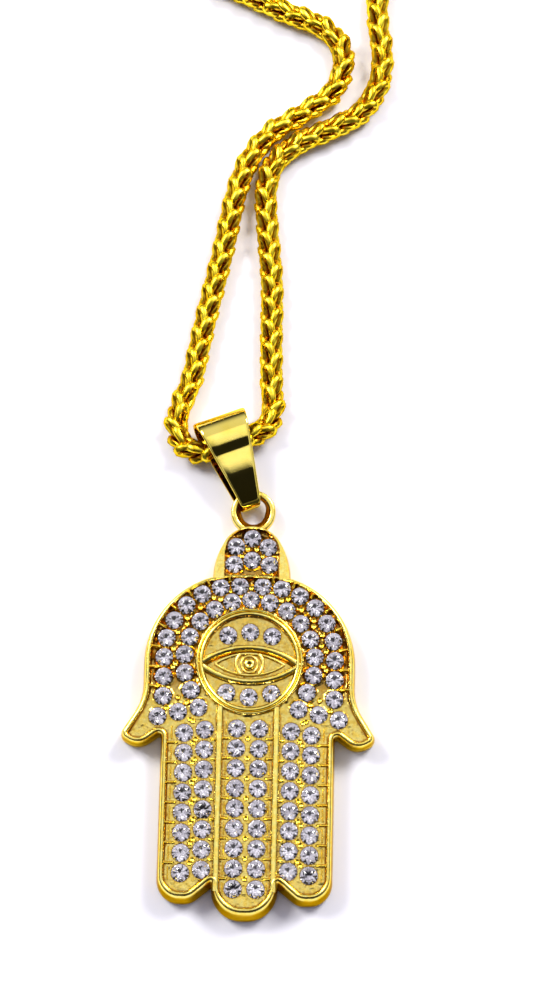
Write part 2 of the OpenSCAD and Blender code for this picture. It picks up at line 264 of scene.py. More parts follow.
def add_window(name, place, watts):
    """A soft square light that faces the necklace, its place in millimetres."""
    light = bpy.data.lights.new(name, "AREA")
    light.shape = "RECTANGLE"
    light.size = WINDOW_SIZE * MM
    light.size_y = WINDOW_SIZE * MM
    light.energy = watts
    light.color = WINDOW_COLOR
    window = bpy.data.objects.new(name, light)
    window.location = place * MM
    window.rotation_euler = (place - WINDOW_AIM).to_track_quat("Z", "Y").to_euler()
    bpy.context.scene.collection.objects.link(window)


add_window("right_window", Vector((290, 335, 400)), 2.9)
add_window("left_window", Vector((-330, 255, 400)), 2.7)
bpy.context.scene.view_settings.view_transform = "Standard"

# %% [markdown]
# ## The white sheet
# A plain sheet under the necklace catches the soft shadow. It isn't attached to the necklace, so
# it isn't part of the object. It lies just under the hand's flat back.

# %% Lay the sheet
SHEET_HALF = 2500
SHEET_Z = -0.02
sheet_corners = [(SHEET_HALF * x, SHEET_HALF * y, SHEET_Z)
                 for x, y in ((-1, -1), (1, -1), (1, 1), (-1, 1))]
sheet_mesh = new_mesh("sheet", sheet_corners, [(0, 1, 2, 3)])
sheet = bpy.data.objects.new("sheet", sheet_mesh)
bpy.context.scene.collection.objects.link(sheet)
paper, _, _ = new_finish("white paper", {
    "Base Color": (0.9, 0.905, 1.0, 1), "Roughness": 0.9, "Specular IOR Level": 0.1})
sheet_mesh.materials.append(paper)
print("sheet laid at", SHEET_Z, "mm")

# %% [markdown]
# ## Effects that the finishes share
# Plated castings are never one even colour. Two effects are used by more than one finish: a
# tint that wanders over the surface, and the fine grain that casting and polishing leave. Each
# is built once as a node group and placed in each material with its own values. They read
# object coordinates in metres, so a scale of 1000 is one pattern cell to the millimetre.

# %% Build the shared effects
BROAD_SCALE = 900.0


def effect(name, inputs, outputs):
    """An empty shader node group with named inputs and outputs."""
    group = bpy.data.node_groups.new(name, "ShaderNodeTree")
    for label, kind, value in inputs:
        socket = group.interface.new_socket(label, in_out="INPUT", socket_type=kind)
        socket.default_value = value
    for label, kind in outputs:
        group.interface.new_socket(label, in_out="OUTPUT", socket_type=kind)
    return group, group.nodes.new("NodeGroupInput"), group.nodes.new("NodeGroupOutput")


def object_noise(tree, scale, detail):
    """Noise over object coordinates. Scale is a socket or a number."""
    place = add_node(tree, "ShaderNodeTexCoord").outputs["Object"]
    cloud = add_node(tree, "ShaderNodeTexNoise", {"Vector": place, "Scale": scale, "Detail": detail})
    return cloud.outputs["Fac"]


wander, wander_in, wander_out = effect(
    "wandering tint",
    [("Light", "NodeSocketColor", (1, 0.7, 0.1, 1)), ("Deep", "NodeSocketColor", (0.9, 0.6, 0.05, 1)),
     ("Scale", "NodeSocketFloat", 500.0)],
    [("Color", "NodeSocketColor")])
cloudy = mapped(wander, object_noise(wander, wander_in.outputs["Scale"], 3), 0.35, 0.65, 0, 1)
feed(wander, wander_out.inputs["Color"],
     mixed(wander, cloudy, wander_in.outputs["Deep"], wander_in.outputs["Light"]))

grain, grain_in, grain_out = effect(
    "metal grain",
    [("Scale", "NodeSocketFloat", 6000.0), ("Rough Low", "NodeSocketFloat", 0.2),
     ("Rough High", "NodeSocketFloat", 0.35)],
    [("Roughness", "NodeSocketFloat"), ("Height", "NodeSocketFloat")])
rough_range = add_node(grain, "ShaderNodeMapRange", {
    "Value": object_noise(grain, BROAD_SCALE, 2), "From Min": 0.3, "From Max": 0.7,
    "To Min": grain_in.outputs["Rough Low"], "To Max": grain_in.outputs["Rough High"]})
feed(grain, grain_out.inputs["Roughness"], rough_range.outputs["Result"])
feed(grain, grain_out.inputs["Height"], object_noise(grain, grain_in.outputs["Scale"], 4))
print("effects:", wander.name, grain.name)

# %% [markdown]
# ## The gold finishes
# The hand is a satin casting, the bail is mirror polished and the chain is drawn wire with a
# bright dip. All are fully metallic, so their colour is the colour of their reflections. Each
# mesh carries an attribute of painted shade, high in its crevices, at the feet of raised parts
# and on slopes that face away from the light, which mixes the finish towards brown there. On
# the casting it also holds brown specks and a little brown all over the floor.

# %% Make the gold finishes
# The colour of gold that is seen at a glancing angle, where a plain metal would turn white
EDGE_TINT = (0.95, 0.68, 0.18, 1)
GRAIN_DEPTH = 0.05


def tinted(tree, light, deep, scale):
    """Places the wandering tint in a finish and returns its colour."""
    tint = add_node(tree, "ShaderNodeGroup", node_tree=wander, inputs={
        "Light": light, "Deep": deep, "Scale": scale})
    return tint.outputs["Color"]


def grained(tree, shader, scale, rough):
    """Places the grain in a finish, feeds the shader its roughness and returns its height."""
    skin = add_node(tree, "ShaderNodeGroup", node_tree=grain, inputs={
        "Scale": scale, "Rough Low": rough[0], "Rough High": rough[1]})
    feed(tree, shader.inputs["Roughness"], skin.outputs["Roughness"])
    return skin.outputs["Height"]


def gold_finish(name, light, deep, shade, tint_scale, grain_scale, rough, bump):
    """A plated gold. Rough is a pair, and the attribute of painted shade (and brown specks on the
    casting) mixes it towards the shade colour.
    """
    material, tree, shader = new_finish(name, {"Metallic": 1, "Specular Tint": EDGE_TINT})
    shade_and_stain_level = add_node(tree, "ShaderNodeAttribute", attribute_name="shade_and_stain")
    color = mixed(tree, shade_and_stain_level.outputs["Fac"], tinted(tree, light, deep, tint_scale), shade)
    dent = add_node(tree, "ShaderNodeBump", {
        "Strength": bump, "Distance": GRAIN_DEPTH * MM,
        "Height": grained(tree, shader, grain_scale, rough)})
    feed(tree, shader.inputs["Base Color"], color)
    feed(tree, shader.inputs["Normal"], dent.outputs["Normal"])
    return material


cast_gold = gold_finish(
    "cast gold", (1.0, 0.8, 0.11, 1), (0.95, 0.68, 0.05, 1), (0.3, 0.11, 0.005, 1),
    1500, 7000, (0.2, 0.32), 0.3)
rubbed_gold = gold_finish(
    "rubbed gold", (1.0, 0.87, 0.24, 1), (1.0, 0.75, 0.12, 1), (0.28, 0.09, 0.005, 1),
    1600, 5200, (0.14, 0.24), 0.25)
mirror_gold = gold_finish(
    "mirror gold", (1.0, 0.82, 0.18, 1), (0.97, 0.77, 0.12, 1), (0.25, 0.05, 0.005, 1),
    400, 14000, (0.04, 0.09), 0.06)
wire_gold = gold_finish(
    "wire gold", (0.96, 0.77, 0.05, 1), (0.9, 0.6, 0.02, 1), (0.5, 0.19, 0.005, 1),
    900, 12000, (0.24, 0.34), 0.1)
print("finishes:", cast_gold.name, rubbed_gold.name, mirror_gold.name, wire_gold.name)

# %% [markdown]
# ## The outline of the hand
# The hand's outline is a short table of corners, each with its own radius. It is drawn once
# for the right half and mirrored. Setting the same table in by a distance gives the rim, the
# wall and the floor, so all of them keep the same shape. The CAD source uses the same table,
# with fewer steps round each corner.

# %% Draw the outlines
HAND_T = 3.2
FLOOR_Z = 2.45
RIM_W = 0.7
PALM_W = 23.4
PALM_TOP = 9.96
PALM_R = 10.1
EAR_W = 28.1
EAR_DROP = 8.5
FINGERS_W = 19.1
SIDE_TIP = 26.67
MID_W = 7.06
MID_TIP = 28.57
BAR_W = 0.76
DOME_W = 8.5
DOME_TOP = PALM_TOP + 5.44
DOME_CUT = PALM_TOP - 0.9 * RIM_W
DOME_WELL_W = 6.1
DOME_WELL_TOP = DOME_TOP - 0.32
LEAST_R = 0.03
# The walls at the fingertips lean back, so the rim stands in from the foot there, and the whole
# tip is a little shorter than in the CAD model. The arch's rim is made narrower by a lift of
# its inner rows.
MID_TIP_CUT = 0.25
SIDE_TIP_CUT = 0.1
TIP_LEAN = 0.4
MID_LEAN_SHARE = 1.3
RIM_LIFT = 0.22


def hand_half_at(lean, lift):
    """The hand's outline with its tips drawn back and its arch lifted. Rows: x, y, radius, steps."""
    mid_tip = MID_TIP - MID_TIP_CUT - MID_LEAN_SHARE * lean
    side_tip = SIDE_TIP - SIDE_TIP_CUT - lean
    return [
        (MID_W / 2, -mid_tip, MID_W * 0.46, 12),
        (MID_W / 2, -mid_tip + MID_W * 0.52, MID_W * 0.02, 3),
        (FINGERS_W * 0.31, -side_tip, FINGERS_W * 0.105, 9),
        (FINGERS_W / 2, -side_tip, FINGERS_W * 0.128, 12),
        (FINGERS_W / 2, -EAR_DROP + 0.6, 0.35, 6),
        (EAR_W * 0.43, -EAR_DROP - 1.25, 2, 8),
        (EAR_W * 0.509, -EAR_DROP, 0.8, 12),
        (PALM_W / 2, -EAR_DROP + 4.1, 6, 10),
        (PALM_W / 2, PALM_TOP + lift, PALM_R, 40)]


rim_half = hand_half_at(TIP_LEAN, RIM_LIFT)
dome_half = [
    (DOME_W / 2, DOME_CUT - 3, LEAST_R, 1),
    (DOME_W / 2, DOME_TOP - DOME_W * 0.43, DOME_W * 0.92, 12),
    (DOME_W / 4, DOME_TOP, DOME_W * 0.42, 16)]
dome_well_half = [
    (DOME_WELL_W / 2, DOME_CUT - 1, LEAST_R, 1),
    (DOME_WELL_W / 2, DOME_WELL_TOP, DOME_WELL_W * 0.45, 24)]


def corner_arc(before, corner, after, inset):
    """Points round one corner of an outline that runs anticlockwise, set in by the inset."""
    tip = Vector(corner[:2])
    come = (tip - Vector(before[:2])).normalized()
    go = (Vector(after[:2]) - tip).normalized()
    turn = math.atan2(come.cross(go), come.dot(go))
    side = 1 if turn > 0 else -1
    radius = max(corner[2] - side * inset, LEAST_R)
    left_come = Vector((-come.y, come.x))
    left_go = Vector((-go.y, go.x))
    moved = tip + inset * (left_come + left_go) / (1 + come.dot(go))
    start = moved - come * radius * math.tan(abs(turn) / 2)
    middle = start + side * left_come * radius
    ray = start - middle
    steps = corner[3]
    return [middle + Matrix.Rotation(turn * k / steps, 2) @ ray for k in range(steps + 1)]


def outline(half, inset):
    """A half outline and its mirror image, as one closed ring of points."""
    whole = half + [(-x, y, r, steps) for x, y, r, steps in reversed(half)]
    ring = []
    for i, corner in enumerate(whole):
        ring += corner_arc(whole[i - 1], corner, whole[(i + 1) % len(whole)], inset)
    return ring


print("points round the hand:", len(outline(rim_half, 0)))

# %% [markdown]
# ## Where the stones go
# Jewellers call this a pavé field. An outer row follows the palm's arch, an inner row goes
# round the eye, three columns of pairs run down the fingers, and five stones fill the dome.
# The rows are written as rules, as the setter would space them, not stone by stone.

# %% Place the stones
STONE_D = 1.9
SEAT_GAP = 0.05
EYE_D = 12
OUTER_PITCH = 2.18
INNER_PITCH = 2.06
ROW_PITCH = 2.2
# Bare floor between the rim and the outer row at the sides, and how far the row's seats reach
# under the rim at the top
SIDE_ROOM = 0.53
TOP_TUCK = 0.28

row_inset = RIM_W + SIDE_ROOM + STONE_D / 2
row_w = PALM_W / 2 - row_inset
row_top = PALM_TOP - RIM_W + TOP_TUCK - STONE_D / 2
row_r = PALM_R - row_inset - 0.07
row_flat = row_w - row_r


def on_arch(s, out=0.0):
    """The point at length s along the outer row, moved out by a distance, and the way out."""
    if s < row_flat:
        return Vector((s, row_top + out)), 90.0
    turned = min((s - row_flat) / row_r, math.pi / 2)
    way = Vector((math.sin(turned), math.cos(turned)))
    past = max(s - row_flat - row_r * math.pi / 2, 0)
    return Vector((row_flat, row_top - row_r - past)) + (row_r + out) * way, 90 - math.degrees(turned)


inner_top_r = EYE_D / 2 + 2 * SEAT_GAP + STONE_D / 2
inner_side_r = inner_top_r + 0.25
inner_step = 2 * math.asin(INNER_PITCH / 2 / inner_top_r)
side_middle = (FINGERS_W / 2 - RIM_W + MID_W / 2) / 2
OUTER_FIRST = 1.28
OUTER_COUNT = 9
# Each row: x, y of the first stone, how many
columns = [(1.25, -7.45, 9), (side_middle - 1.42, -7.65, 8), (side_middle + 0.86, -8.05, 8)]
dome_row = DOME_WELL_TOP - 1.98

outer_row = [on_arch(OUTER_FIRST + i * OUTER_PITCH)[0] for i in range(OUTER_COUNT)]
inner_row = [Vector((inner_side_r * math.sin(i * inner_step), inner_top_r * math.cos(i * inner_step)))
             for i in range(1, 8)]
knuckle_row = [Vector((FINGERS_W * 0.291 + i * 2.25, -5.2 - i * 0.54)) for i in range(3)]
finger_stones = [Vector((x, y - i * ROW_PITCH)) for x, y, count in columns for i in range(count)]
dome_stones = [Vector((1.8, dome_row)), Vector((1.98, dome_row - 2.03))]
eye_stones = [Vector((2.45, 2.95)), Vector((2.5, -3.5))]
middle_stones = [Vector((0, inner_top_r)), Vector((0, dome_row + 0.96)), Vector((0, dome_row - 1.52)),
                 Vector((0, 3.35)), Vector((0, -3.95))]
right_stones = outer_row + inner_row + knuckle_row + finger_stones + dome_stones + eye_stones
stone_places = [Vector((side * p.x, p.y)) for p in right_stones for side in (1, -1)] + middle_stones
print("stones:", len(stone_places))

# %% [markdown]
# ## The casting
# The body of the hand is one closed skin. Its wall swells out towards the back, the rim is
# rounded, and inside it a floor lies three quarters of a millimetre lower. The floor is a
# sheet of triangles fitted between the rim and the round seats of the stones (a constrained
# Delaunay mesh), which leaves points enough to raise a lip round each seat and to give the
# bare parts the lumpy surface of a casting. A boolean cut would make long thin faces instead.

# %% Work with flat rings


def inside(points, ring):
    """Which of the points lie inside a ring."""
    x = points[:, 0]
    y = points[:, 1]
    hit = np.zeros(len(points), bool)
    for (x1, y1), (x2, y2) in zip(ring, np.roll(ring, -1, 0)):
        if y1 == y2:
            continue
        crosses = (y1 > y) != (y2 > y)
        hit ^= crosses & (x < (x2 - x1) * (y - y1) / (y2 - y1) + x1)
    return hit


def off_ring(points, ring):
    """Each point's distance from the nearest side of a ring."""
    nearest = np.full(len(points), 1e9)
    for start, end in zip(ring, np.roll(ring, -1, 0)):
        side = end - start
        share = np.clip((points - start) @ side / max(side @ side, 1e-12), 0, 1)
        gap = np.linalg.norm(points - start - share[:, None] * side, axis=1)
        nearest = np.minimum(nearest, gap)
    return nearest


def flat_ring(half, inset):
    """An outline as an array."""
    return np.array([(p.x, p.y) for p in outline(half, inset)])


def ring_sides(first, count):
    """The sides of a ring of numbered points, as pairs of numbers."""
    return [(first + k, first + (k + 1) % count) for k in range(count)]


def triangulated(points, sides):
    """Joins points into triangles that keep the given sides.

    Returns the points, the triangles, and the given points that each point came from."""
    net = geometry.delaunay_2d_cdt([Vector(p) for p in points], sides, [], 0, 1e-5)
    return np.array([(v.x, v.y) for v in net[0]]), net[2], net[3]


print("sides of a square:", ring_sides(0, 4))

# %% Shape the floor and its seats
GIRDLE_Z = FLOOR_Z - 0.03
STONE_SCALE = 1.03
SEAT_R = STONE_D / 2 + SEAT_GAP
SEAT_SIDES = 24
SEAT_FLOOR = GIRDLE_Z - 0.95
LIP_OUT = 0.07
FLOOR_STEP = 0.24
ARCH_SINK = 0.25


def off_seats(points, centres):
    """Each point's distance from the edge of the nearest seat."""
    return np.linalg.norm(points[:, None] - centres[None], axis=2).min(1) - SEAT_R


def relief(x, y, seat_distance):
    """Height of the cast floor at a point. It is sunk round the eye, less and less downwards."""
    lumps = 0.05 * noise.noise(Vector((x * 2.3, y * 2.3, 3.0)))
    lumps += 0.04 * noise.noise(Vector((x * 5.1, y * 5.1, 7.0)))
    downwards = min(max((y + 6.5) / 5, 0), 1) * (math.hypot(x, y) > EYE_D / 2)
    sunk = ARCH_SINK * downwards * min(max(seat_distance - 0.03, 0) / 0.1, 1)
    return FLOOR_Z + lumps - sunk


def seat_ring(centre, clear):
    """Points round a seat, drawn in where the seat would run under the rim."""
    ring = []
    shares = SEAT_R * np.linspace(1, 0.4, 25)
    for k in range(SEAT_SIDES):
        angle = 2 * math.pi * k / SEAT_SIDES
        tries = centre + shares[:, None] * np.array([math.cos(angle), math.sin(angle)])
        ring.append(tries[np.argmax(inside(tries, clear))])
    return np.array(ring)


def grid_points(border, near, centres):
    """A grid of points over the floor that keeps clear of the rim and the seats."""
    low, high = border.min(0), border.max(0)
    xs = np.arange(low[0], high[0], FLOOR_STEP)
    ys = np.arange(low[1], high[1], FLOOR_STEP * 0.866)
    grid = np.array([(x + (j % 2) * FLOOR_STEP / 2, y) for j, y in enumerate(ys) for x in xs])
    grid = grid[inside(grid, near)]
    return grid[off_seats(grid, centres) > 0.12]


def lip_points(near, centres):
    """Points round each seat that carry its lip, left out where another seat is close."""
    lip_r = SEAT_R + LIP_OUT
    lips = []
    for cx, cy in centres:
        for k in range(SEAT_SIDES):
            angle = 2 * math.pi * (k + 0.5) / SEAT_SIDES
            lips.append((cx + lip_r * math.cos(angle), cy + lip_r * math.sin(angle)))
    lips = np.array(lips)
    lips = lips[inside(lips, near)]
    gap = np.sort(np.linalg.norm(lips[:, None] - centres[None], axis=2), 1)
    return lips[gap[:, 1] > SEAT_R + 0.05]


print("a seat is", round(2 * SEAT_R, 2), "mm across and", round(GIRDLE_Z - SEAT_FLOOR, 2), "mm deep")

# %% Skin a slab with seats


def add_facing_up(bm, corners):
    """Adds a triangle whose front is turned up."""
    a, b, c = (v.co for v in corners)
    if (b.x - a.x) * (c.y - a.y) < (b.y - a.y) * (c.x - a.x):
        corners.reverse()
    bm.faces.new(corners)


def fill_between(bm, outer, inner):
    """Fills the flat band between two rings of vertices."""
    corners = outer + inner
    split = len(outer)
    flat = np.array([(v.co.x, v.co.y) for v in corners])
    _, triangles, came_from = triangulated(flat, ring_sides(0, split) + ring_sides(split, len(inner)))
    triangles = [[min(came_from[v]) for v in t] for t in triangles]
    middles = np.array([flat[t].mean(0) for t in triangles])
    keep = inside(middles, flat[:split]) & ~inside(middles, flat[split:])
    for t, wanted in zip(triangles, keep):
        if wanted:
            add_facing_up(bm, [corners[v] for v in t])


def wall_between(bm, low, high):
    """A wall between two rings with the same number of vertices."""
    for i, after in ring_sides(0, len(low)):
        bm.faces.new((low[i], low[after], high[after], high[i]))


def lay_floor(bm, rim, half, inset, centres):
    """Lays the floor between the rim's last ring and the seats. Returns the seats' rings."""
    border = flat_ring(half, inset)
    clear = flat_ring(half, inset + 0.04)
    near = flat_ring(half, inset + 0.1)
    holes = [seat_ring(centre, clear) for centre in centres]
    first_seats = [len(border) + n * SEAT_SIDES for n in range(len(holes))]
    sides = ring_sides(0, len(border))
    for first in first_seats:
        sides += ring_sides(first, SEAT_SIDES)
    loose = [grid_points(border, near, centres), lip_points(near, centres)]
    points = np.concatenate([border, *holes, *loose])
    flat, triangles, came_from = triangulated(points, sides)
    middles = np.array([flat[list(t)].mean(0) for t in triangles])
    keep = inside(middles, border)
    for centre, hole in zip(centres, holes):
        close = np.flatnonzero(np.linalg.norm(middles - centre, axis=1) < SEAT_R)
        keep[close[inside(middles[close], hole)]] = False
    to_seat = off_seats(flat, centres)
    made = {}
    numbered = {}
    for t, wanted in zip(triangles, keep):
        if not wanted:
            continue
        for v in t:
            if v in made:
                continue
            given = min(came_from[v]) if came_from[v] else len(points)
            x, y = flat[v]
            if given < len(border):
                made[v] = rim[given]
            else:
                made[v] = bm.verts.new((x, y, relief(x, y, to_seat[v])))
                numbered[given] = made[v]
        add_facing_up(bm, [made[v] for v in t])
    return [[numbered[first + k] for k in range(SEAT_SIDES)] for first in first_seats]


def skin_slab(rows, places):
    """A closed slab with a rounded edge, a sunk lumpy floor and a round seat at each place.

    Each row is (half outline, inset, height), from the back's corner to the edge of the floor."""
    bm = bmesh.new()
    rings = [[bm.verts.new((p.x, p.y, z)) for p in outline(half, inset)] for half, inset, z in rows]
    for low, high in zip(rings, rings[1:]):
        join = wall_between if len(low) == len(high) else fill_between
        join(bm, low, high)
    bm.faces.new(list(reversed(rings[0])))
    half, inset, _ = rows[-1]
    for edge in lay_floor(bm, rings[-1], half, inset, np.array([(p.x, p.y) for p in places])):
        foot = [bm.verts.new((v.co.x, v.co.y, SEAT_FLOOR)) for v in edge]
        wall_between(bm, edge, foot)
        bm.faces.new(foot)
    return bm


# %% Make the palm and the dome
# Each row: distance in from the outline, height. The wall, then the rounded rim, then the floor
EDGE = [(0.05, 0), (-0.07, 0.05), (-0.13, 0.18), (-0.15, 0.5), (-0.13, 1.0), (-0.09, 1.5), (-0.02, 2.05),
        (0.03, 2.45), (0.06, 2.7), (0.09, 2.84), (0.14, 2.99), (0.21, 3.1), (0.29, 3.17), (0.39, 3.2),
        (0.52, 3.19), (0.6, 3.13), (0.65, 3.02), (0.68, 2.88), (0.7, 2.7), (0.7, 2.45)]
# The dome's rim is tighter outside, and its inner rows are measured from the sunk field
DOME_EDGE = EDGE[:7] + [(0.02, 2.5), (0.04, 2.8), (0.06, 3.0), (0.09, 3.12), (0.12, 3.2)]
WELL_EDGE = [(-0.05, 3.2), (-0.025, 3.12), (-0.005, 3.03), (0, 2.94), (0, 2.7), (0, 2.45)]

dome_from = DOME_CUT + 0.2
palm_places = [p for p in stone_places if p.y < dome_from]
dome_places = [p for p in stone_places if p.y >= dome_from]
# The lean grows with height up to the rim and is kept inside it, and the lift is for the inner rows
leans = [float(np.interp(z, [1.0, 2.8, 3.1], [0, 0.8, 1])) for _, z in EDGE]
lifts = [float(np.interp(inset, [0.4, 0.6], [0, 1])) for inset, _ in EDGE]
palm_rows = [(hand_half_at(TIP_LEAN * max(leans[:i + 1]), RIM_LIFT * lifts[i]), inset, z)
             for i, (inset, z) in enumerate(EDGE)]
palm = skin_slab(palm_rows, palm_places)
dome = skin_slab([(dome_half, inset, z) for inset, z in DOME_EDGE]
                 + [(dome_well_half, inset, z) for inset, z in WELL_EDGE], dome_places)
cut = bmesh.ops.bisect_plane(dome, geom=dome.verts[:] + dome.edges[:] + dome.faces[:], dist=1e-5,
                             plane_co=(0, DOME_CUT, 0), plane_no=(0, -1, 0), clear_outer=True)
open_edges = [e for e in cut["geom_cut"] if isinstance(e, bmesh.types.BMEdge)]
bmesh.ops.contextual_create(dome, geom=open_edges)
print("palm faces:", len(palm.faces), "dome faces:", len(dome.faces))

# %% Join the palm and the dome, and paint shade into the crevices
EYE_RING_W = 0.9
EYE_Y = -0.3
LID_RISE = 1.9
LID_W = 0.6
bar_x = (MID_W - BAR_W) / 2
lid_half_w = EYE_D / 2 - EYE_RING_W / 2
lid_r = (lid_half_w ** 2 + LID_RISE ** 2) / (2 * LID_RISE)
seat_centres = np.array([(p.x, p.y) for p in stone_places])
# The foot of each rim, and a ring a little outside it that holds the whole floor
palm_foot, palm_reach = flat_ring(rim_half, EDGE[-1][0]), flat_ring(rim_half, 0.55)
dome_foot, dome_reach = flat_ring(dome_well_half, 0), flat_ring(dome_well_half, -0.05)


def casting_shade_and_stain(places):
    """How brown the casting is at each place: painted shade in its crevices and on its outer wall, brown
    specks on the floor, and none on top of the rim.
    """
    flat = places[:, :2]
    x, y, z = places.T
    in_palm = inside(flat, palm_reach)
    in_dome = inside(flat, dome_reach)
    in_eye = np.hypot(x, y) < EYE_D / 2
    to_seat = off_seats(flat, seat_centres)
    to_bar = np.abs(np.abs(x) - bar_x) - BAR_W / 2
    to_lid = np.minimum(*(np.abs(np.hypot(x, y - EYE_Y + side * (LID_RISE - lid_r)) - lid_r)
                          for side in (1, -1)))
    speckle = np.array([noise.noise(Vector((px * 4.3, py * 4.3, 1.0))) for px, py in flat])
    browns = [
        # Painted shade at the foot of both rims
        in_palm * fade(off_ring(flat, palm_foot), 0, 0.2),
        in_dome * fade(off_ring(flat, dome_foot), 0, 0.2),
        # Painted shade round the seats, beside the bars and beside the lids
        0.8 * fade(to_seat, 0, 0.1),
        0.8 * fade(to_bar, 0.04, 0.26) * (y < -EYE_D / 2),
        0.8 * fade(to_lid, LID_W / 2 - 0.05, LID_W / 2 + 0.25) * (np.hypot(x, y) < EYE_D / 2 - 0.5),
        # Painted shade where the floor is sunk, brown specks at random, and a little brown all over the
        # floor
        0.75 * fade(z, FLOOR_Z - 0.22, FLOOR_Z - 0.06) * (to_seat > 0.01) * (z > 2),
        0.55 * smooth_step(speckle, 0.25, 0.5) * in_palm,
        (0.24 + 0.1 * in_eye) * (z > 2),
        # Painted shade on the outer wall, less at the fingertips
        0.65 * fade(z, 2.5, 2.95) * ~in_palm * ~in_dome
        * (1 - 0.7 * smooth_step(y, 3 - SIDE_TIP, 6 - SIDE_TIP))]
    return fade(z, 2.65, 3.05) * np.maximum.reduce(browns)


hand_mesh = bpy.data.meshes.new("hand_casting")
dome.to_mesh(hand_mesh)
palm.from_mesh(hand_mesh)
palm.to_mesh(hand_mesh)
hand_mesh.transform(Matrix.Scale(MM, 4))
palm.free()
dome.free()
shade_and_stain(hand_mesh, casting_shade_and_stain)
add_piece("hand_casting", hand_mesh, rubbed_gold, sharp=50, replaced=["hand"])

# %% [markdown]
# ## Ridges on the floor
# The bars between the fingers, the ring round the eye, the lids and the iris are all ridges:
# a rounded section carried along a path. One helper sweeps any section along any path. The
# eye's ring has a groove along its top, which catches the light as two bright lines.

# %% Sweep a section along a path


def tube_faces(rings, size, closed):
    """Faces between rings of points that follow each other, and the two ends if it isn't closed."""
    joins = ring_sides(0, rings) if closed else [(i, i + 1) for i in range(rings - 1)]
    faces = [(i * size + k, j * size + k, j * size + after, i * size + after)
             for i, j in joins for k, after in ring_sides(0, size)]
    if not closed:
        faces.append(tuple(range(size)))
        faces.append(tuple((rings - 1) * size + k for k in reversed(range(size))))
    return faces


def sweep(path, section, closed):
    """Points and faces of a section, in (out, height), carried along a flat path."""
    points = []
    for i, p in enumerate(path):
        before = path[i - 1] if closed or i else path[0]
        after = path[(i + 1) % len(path)] if closed or i < len(path) - 1 else path[-1]
        way = (after - before).normalized()
        out = Vector((way.y, -way.x))
        points += [(p.x + out.x * w, p.y + out.y * w, z) for w, z in section]
    return points, tube_faces(len(path), len(section), closed)


def ridge(width, top):
    """Section of a plain rounded ridge."""
    half = width / 2
    rise = min(width * 0.45, 0.3)
    side = [(1, 1), (0.96, 0.6), (0.84, 0.28), (0.6, 0.08), (0.3, 0.01)]
    arch = [(half * out, top - rise * drop) for out, drop in side]
    return [(half, RIDGE_FOOT)] + arch + [(-w, z) for w, z in reversed(arch)] + [(-half, RIDGE_FOOT)]


def arc(cx, cy, radius, start, end, steps):
    """Points along an arc, from one angle in degrees to the other."""
    angles = np.radians(np.linspace(start, end, steps + 1))
    return [Vector((cx + radius * math.cos(a), cy + radius * math.sin(a))) for a in angles]


def circle(cx, cy, radius, steps):
    """Points round a circle, anticlockwise."""
    return arc(cx, cy, radius, 0, 360, steps)[:-1]


def lathe(profile, sides, cx=0.0, cy=0.0):
    """Points and faces of a closed shape turned round an upright line, from (radius, height)."""
    points = [(p.x, p.y, z) for r, z in profile for p in circle(cx, cy, r, sides)]
    return points, tube_faces(len(profile), sides, False)


def joined(parts):
    """Several sets of points and faces as one set."""
    points = []
    faces = []
    for more_points, more_faces in parts:
        faces += [tuple(v + len(points) for v in face) for face in more_faces]
        points += more_points
    return points, faces


def off_axis(places, cy=0.0):
    """Each place's distance from the upright line at x = 0 and y = cy."""
    return np.hypot(places[:, 0], places[:, 1] - cy)


def low_shade(strength, low, high):
    """A rule that paints shade on what lies low: fully below one height, not at all above the other."""
    return lambda places: strength * fade(places[:, 2], low, high)


RIDGE_FOOT = FLOOR_Z - 0.3
# Painted shade at the foot of the ridges on the floor
foot_shade = low_shade(0.9, 2.4, 2.9)
print("faces on a square tube of three rings:", len(tube_faces(3, 4, False)))

# %% Make the bars and the eye's ring
bar_from = -MID_TIP + MID_W / 2 - 0.3
bar_to = -EYE_D / 2 + EYE_RING_W / 2 + 0.5
bars = []
for side in (1, -1):
    bar_path = [Vector((side * bar_x, bar_from + (bar_to - bar_from) * i / 12)) for i in range(13)]
    bars.append(sweep(bar_path, ridge(BAR_W, HAND_T - 0.02), False))
bars_mesh = shade_and_stain(new_mesh("finger_bars", *joined(bars)), foot_shade)
add_piece("finger_bars", bars_mesh, rubbed_gold, sharp=60)

# Each row: distance out from the ring's outer edge, height. The groove is the low row inside
RING_SECTION = [(0, 2.15), (0, 2.9), (-0.03, 3.06), (-0.1, 3.17), (-0.19, 3.21), (-0.27, 3.18),
                (-0.33, 3.06), (-0.37, 3.0), (-0.41, 3.06), (-0.47, 3.16), (-0.58, 3.2), (-0.7, 3.18),
                (-0.82, 3.1), (-0.89, 2.96), (-0.92, 2.8), (-0.92, 2.15)]
GROOVE_R = EYE_D / 2 - 0.37


def ring_shade(places):
    """Painted shade: brown at the ring's foot, along its groove and down its inner slope at the top,
    which faces away from the windows.
    """
    from_eye = off_axis(places)
    groove = 0.85 * fade(np.abs(from_eye - GROOVE_R), 0.02, 0.06) * (places[:, 2] < 3.03)
    upwards = smooth_step(places[:, 1] / from_eye, 0.1, 0.9)
    slope = 0.8 * upwards * fade(from_eye, EYE_D / 2 - 0.84, EYE_D / 2 - 0.66)
    return np.maximum.reduce([foot_shade(places), groove, slope])


ring_shape = sweep(circle(0, 0, EYE_D / 2, 120), RING_SECTION, True)
ring_mesh = shade_and_stain(new_mesh("eye_ring", *ring_shape), ring_shade)
add_piece("eye_ring", ring_mesh, rubbed_gold, sharp=60)

# %% Make the eye's lines
LID_TOP = HAND_T - 0.2
INNER_LID = ridge(0.26, LID_TOP - 0.1)
IRIS_R = 1.5
IRIS_SWING = 46
PUPIL_RING_R = 0.93
PUPIL = [(0.66, 2.2), (0.66, 2.85), (0.6, 3.0), (0.46, 3.09), (0.3, 3.1), (0.2, 3.04), (0.1, 2.9)]


